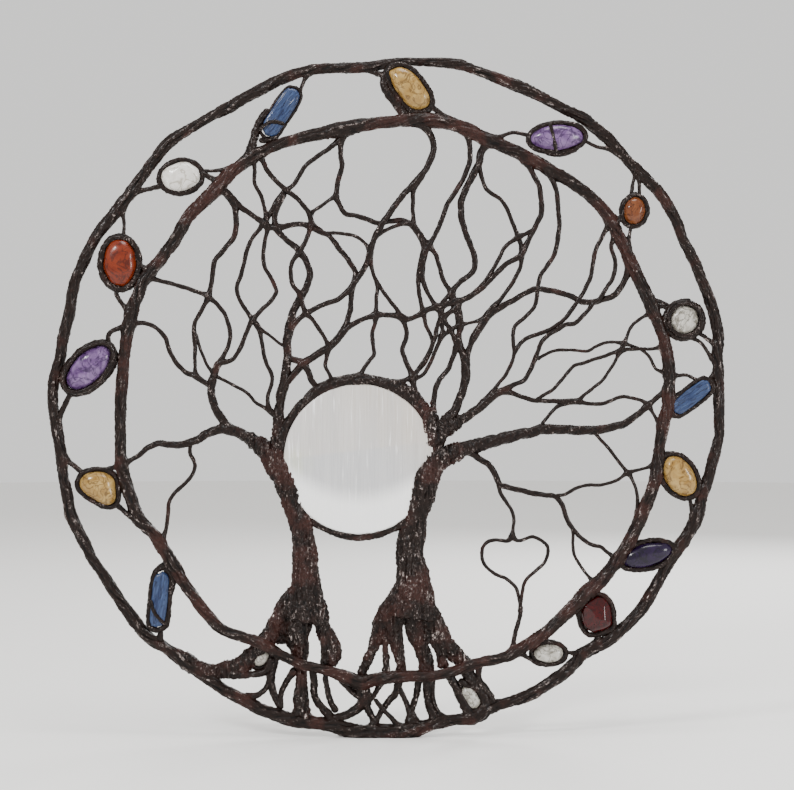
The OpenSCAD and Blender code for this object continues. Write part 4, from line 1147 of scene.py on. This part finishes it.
class CLAYTREE_OT_strands(Operator):
    """Coat the root lattice and the moon's ring"""

    bl_idname = "clay_tree.strands"
    bl_label = "Root strands and moon ring"

    def execute(self, context):
        coat_nodes(["root_strands", "moon_ring"], context.scene.clay_tree.strands)
        return {"FINISHED"}


class CLAYTREE_OT_canopy(Operator):
    """Twist and coat the limbs, the twigs and the heart"""

    bl_idname = "clay_tree.canopy"
    bl_label = "Canopy and heart"

    def execute(self, context):
        coat_nodes([*CANOPY, "heart"], context.scene.clay_tree.twigs)
        return {"FINISHED"}


class CLAYTREE_OT_settings(Operator):
    """Coat the wires that hold the stones"""

    bl_idname = "clay_tree.settings"
    bl_label = "Stone settings"

    def execute(self, context):
        coat_nodes([stone + SETTING for stone in STONES], context.scene.clay_tree.grips)
        return {"FINISHED"}


class CLAYTREE_OT_stones(Operator):
    """Tumble and polish the stones"""

    bl_idname = "clay_tree.stones"
    bl_label = "Stones"

    def execute(self, context):
        sizes = context.scene.clay_tree.stones
        for stone in STONES:
            tumbled_stone(stone, sizes.around, sizes.levels)
        return {"FINISHED"}


class CLAYTREE_OT_selenite(Operator):
    """Split and round the selenite plate"""

    bl_idname = "clay_tree.selenite"
    bl_label = "Selenite plate"

    def execute(self, context):
        selenite_plate(context.scene.clay_tree.plate)
        return {"FINISHED"}


class CLAYTREE_OT_stage(Operator):
    """Set up the pale floor, the soft light and the camera"""

    bl_idname = "clay_tree.stage"
    bl_label = "Stage"

    def execute(self, context):
        sizes = context.scene.clay_tree.stage
        scene = context.scene
        floor = bmesh.new()
        bmesh.ops.create_circle(floor, cap_ends=True, segments=96, radius=sizes.floor_radius)
        mesh = bpy.data.meshes.new("floor")
        floor.to_mesh(mesh)
        floor.free()
        material, _, shader = new_material("floor")
        polish(shader, {"Base Color": (0.88, 0.87, 0.85, 1.0), "Roughness": 0.7})
        mesh.materials.append(material)
        put_in_scene("floor", mesh)

        world = bpy.data.worlds.new("Pale room")
        world.use_nodes = True
        backdrop = world.node_tree.nodes["Background"]
        backdrop.inputs["Color"].default_value = (0.93, 0.925, 0.91, 1.0)
        backdrop.inputs["Strength"].default_value = 1.1
        scene.world = world

        centre = Vector((0.0, 0.0, 0.17))
        for name, place, size, power in (
            ("key", (-0.7, -0.9, 0.9), 0.22, sizes.key_power),
            ("fill", (0.9, -0.8, 0.35), 0.3, sizes.key_power * 0.5),
            ("top", (0.1, -0.15, 1.2), 0.5, sizes.key_power * 0.6),
            ("back", (0.5, 1.1, 0.7), 0.5, sizes.key_power * 0.8),
        ):
            lamp = bpy.data.lights.new(name, "AREA")
            lamp.size = size
            lamp.energy = power
            made = put_in_scene(name, lamp)
            made.location = place
            made.rotation_euler = (centre - Vector(place)).to_track_quat("-Z", "Y").to_euler()

        camera = bpy.data.cameras.new("camera")
        camera.lens = camera.sensor_width * sizes.camera_distance / sizes.seen_width
        made = put_in_scene("camera", camera)
        made.location = (0.0055, -sizes.camera_distance, 0.171)
        made.rotation_euler = (math.radians(90.0), 0.0, 0.0)
        scene.camera = made
        return {"FINISHED"}


class CLAYTREE_PT_panel(Panel):
    """Lists the pieces of the tree"""

    bl_idname = "CLAYTREE_PT_panel"
    bl_label = "Clay Tree"
    bl_space_type = "VIEW_3D"
    bl_region_type = "UI"
    bl_category = "Clay Tree"

    def draw(self, context):
        for step in STEPS:
            self.layout.operator(step.bl_idname)


STEPS = (CLAYTREE_OT_stage, CLAYTREE_OT_hoops, CLAYTREE_OT_trunks, CLAYTREE_OT_strands,
         CLAYTREE_OT_canopy, CLAYTREE_OT_settings, CLAYTREE_OT_stones, CLAYTREE_OT_selenite)
CLASSES = (*WIRE_KINDS, Bark, StoneSizes, PlateSizes, ClayColours, StageSizes, ClayTree, *STEPS,
           CLAYTREE_PT_panel)


def register():
    for made in CLASSES:
        bpy.utils.register_class(made)
    bpy.types.Scene.clay_tree = PointerProperty(type=ClayTree)


def unregister():
    del bpy.types.Scene.clay_tree
    for made in reversed(CLASSES):
        bpy.utils.unregister_class(made)


def main():
    register()
    for step in STEPS:
        group, name = step.bl_idname.split(".")
        getattr(getattr(bpy.ops, group), name)()


if __name__ == "__main__":
    main()
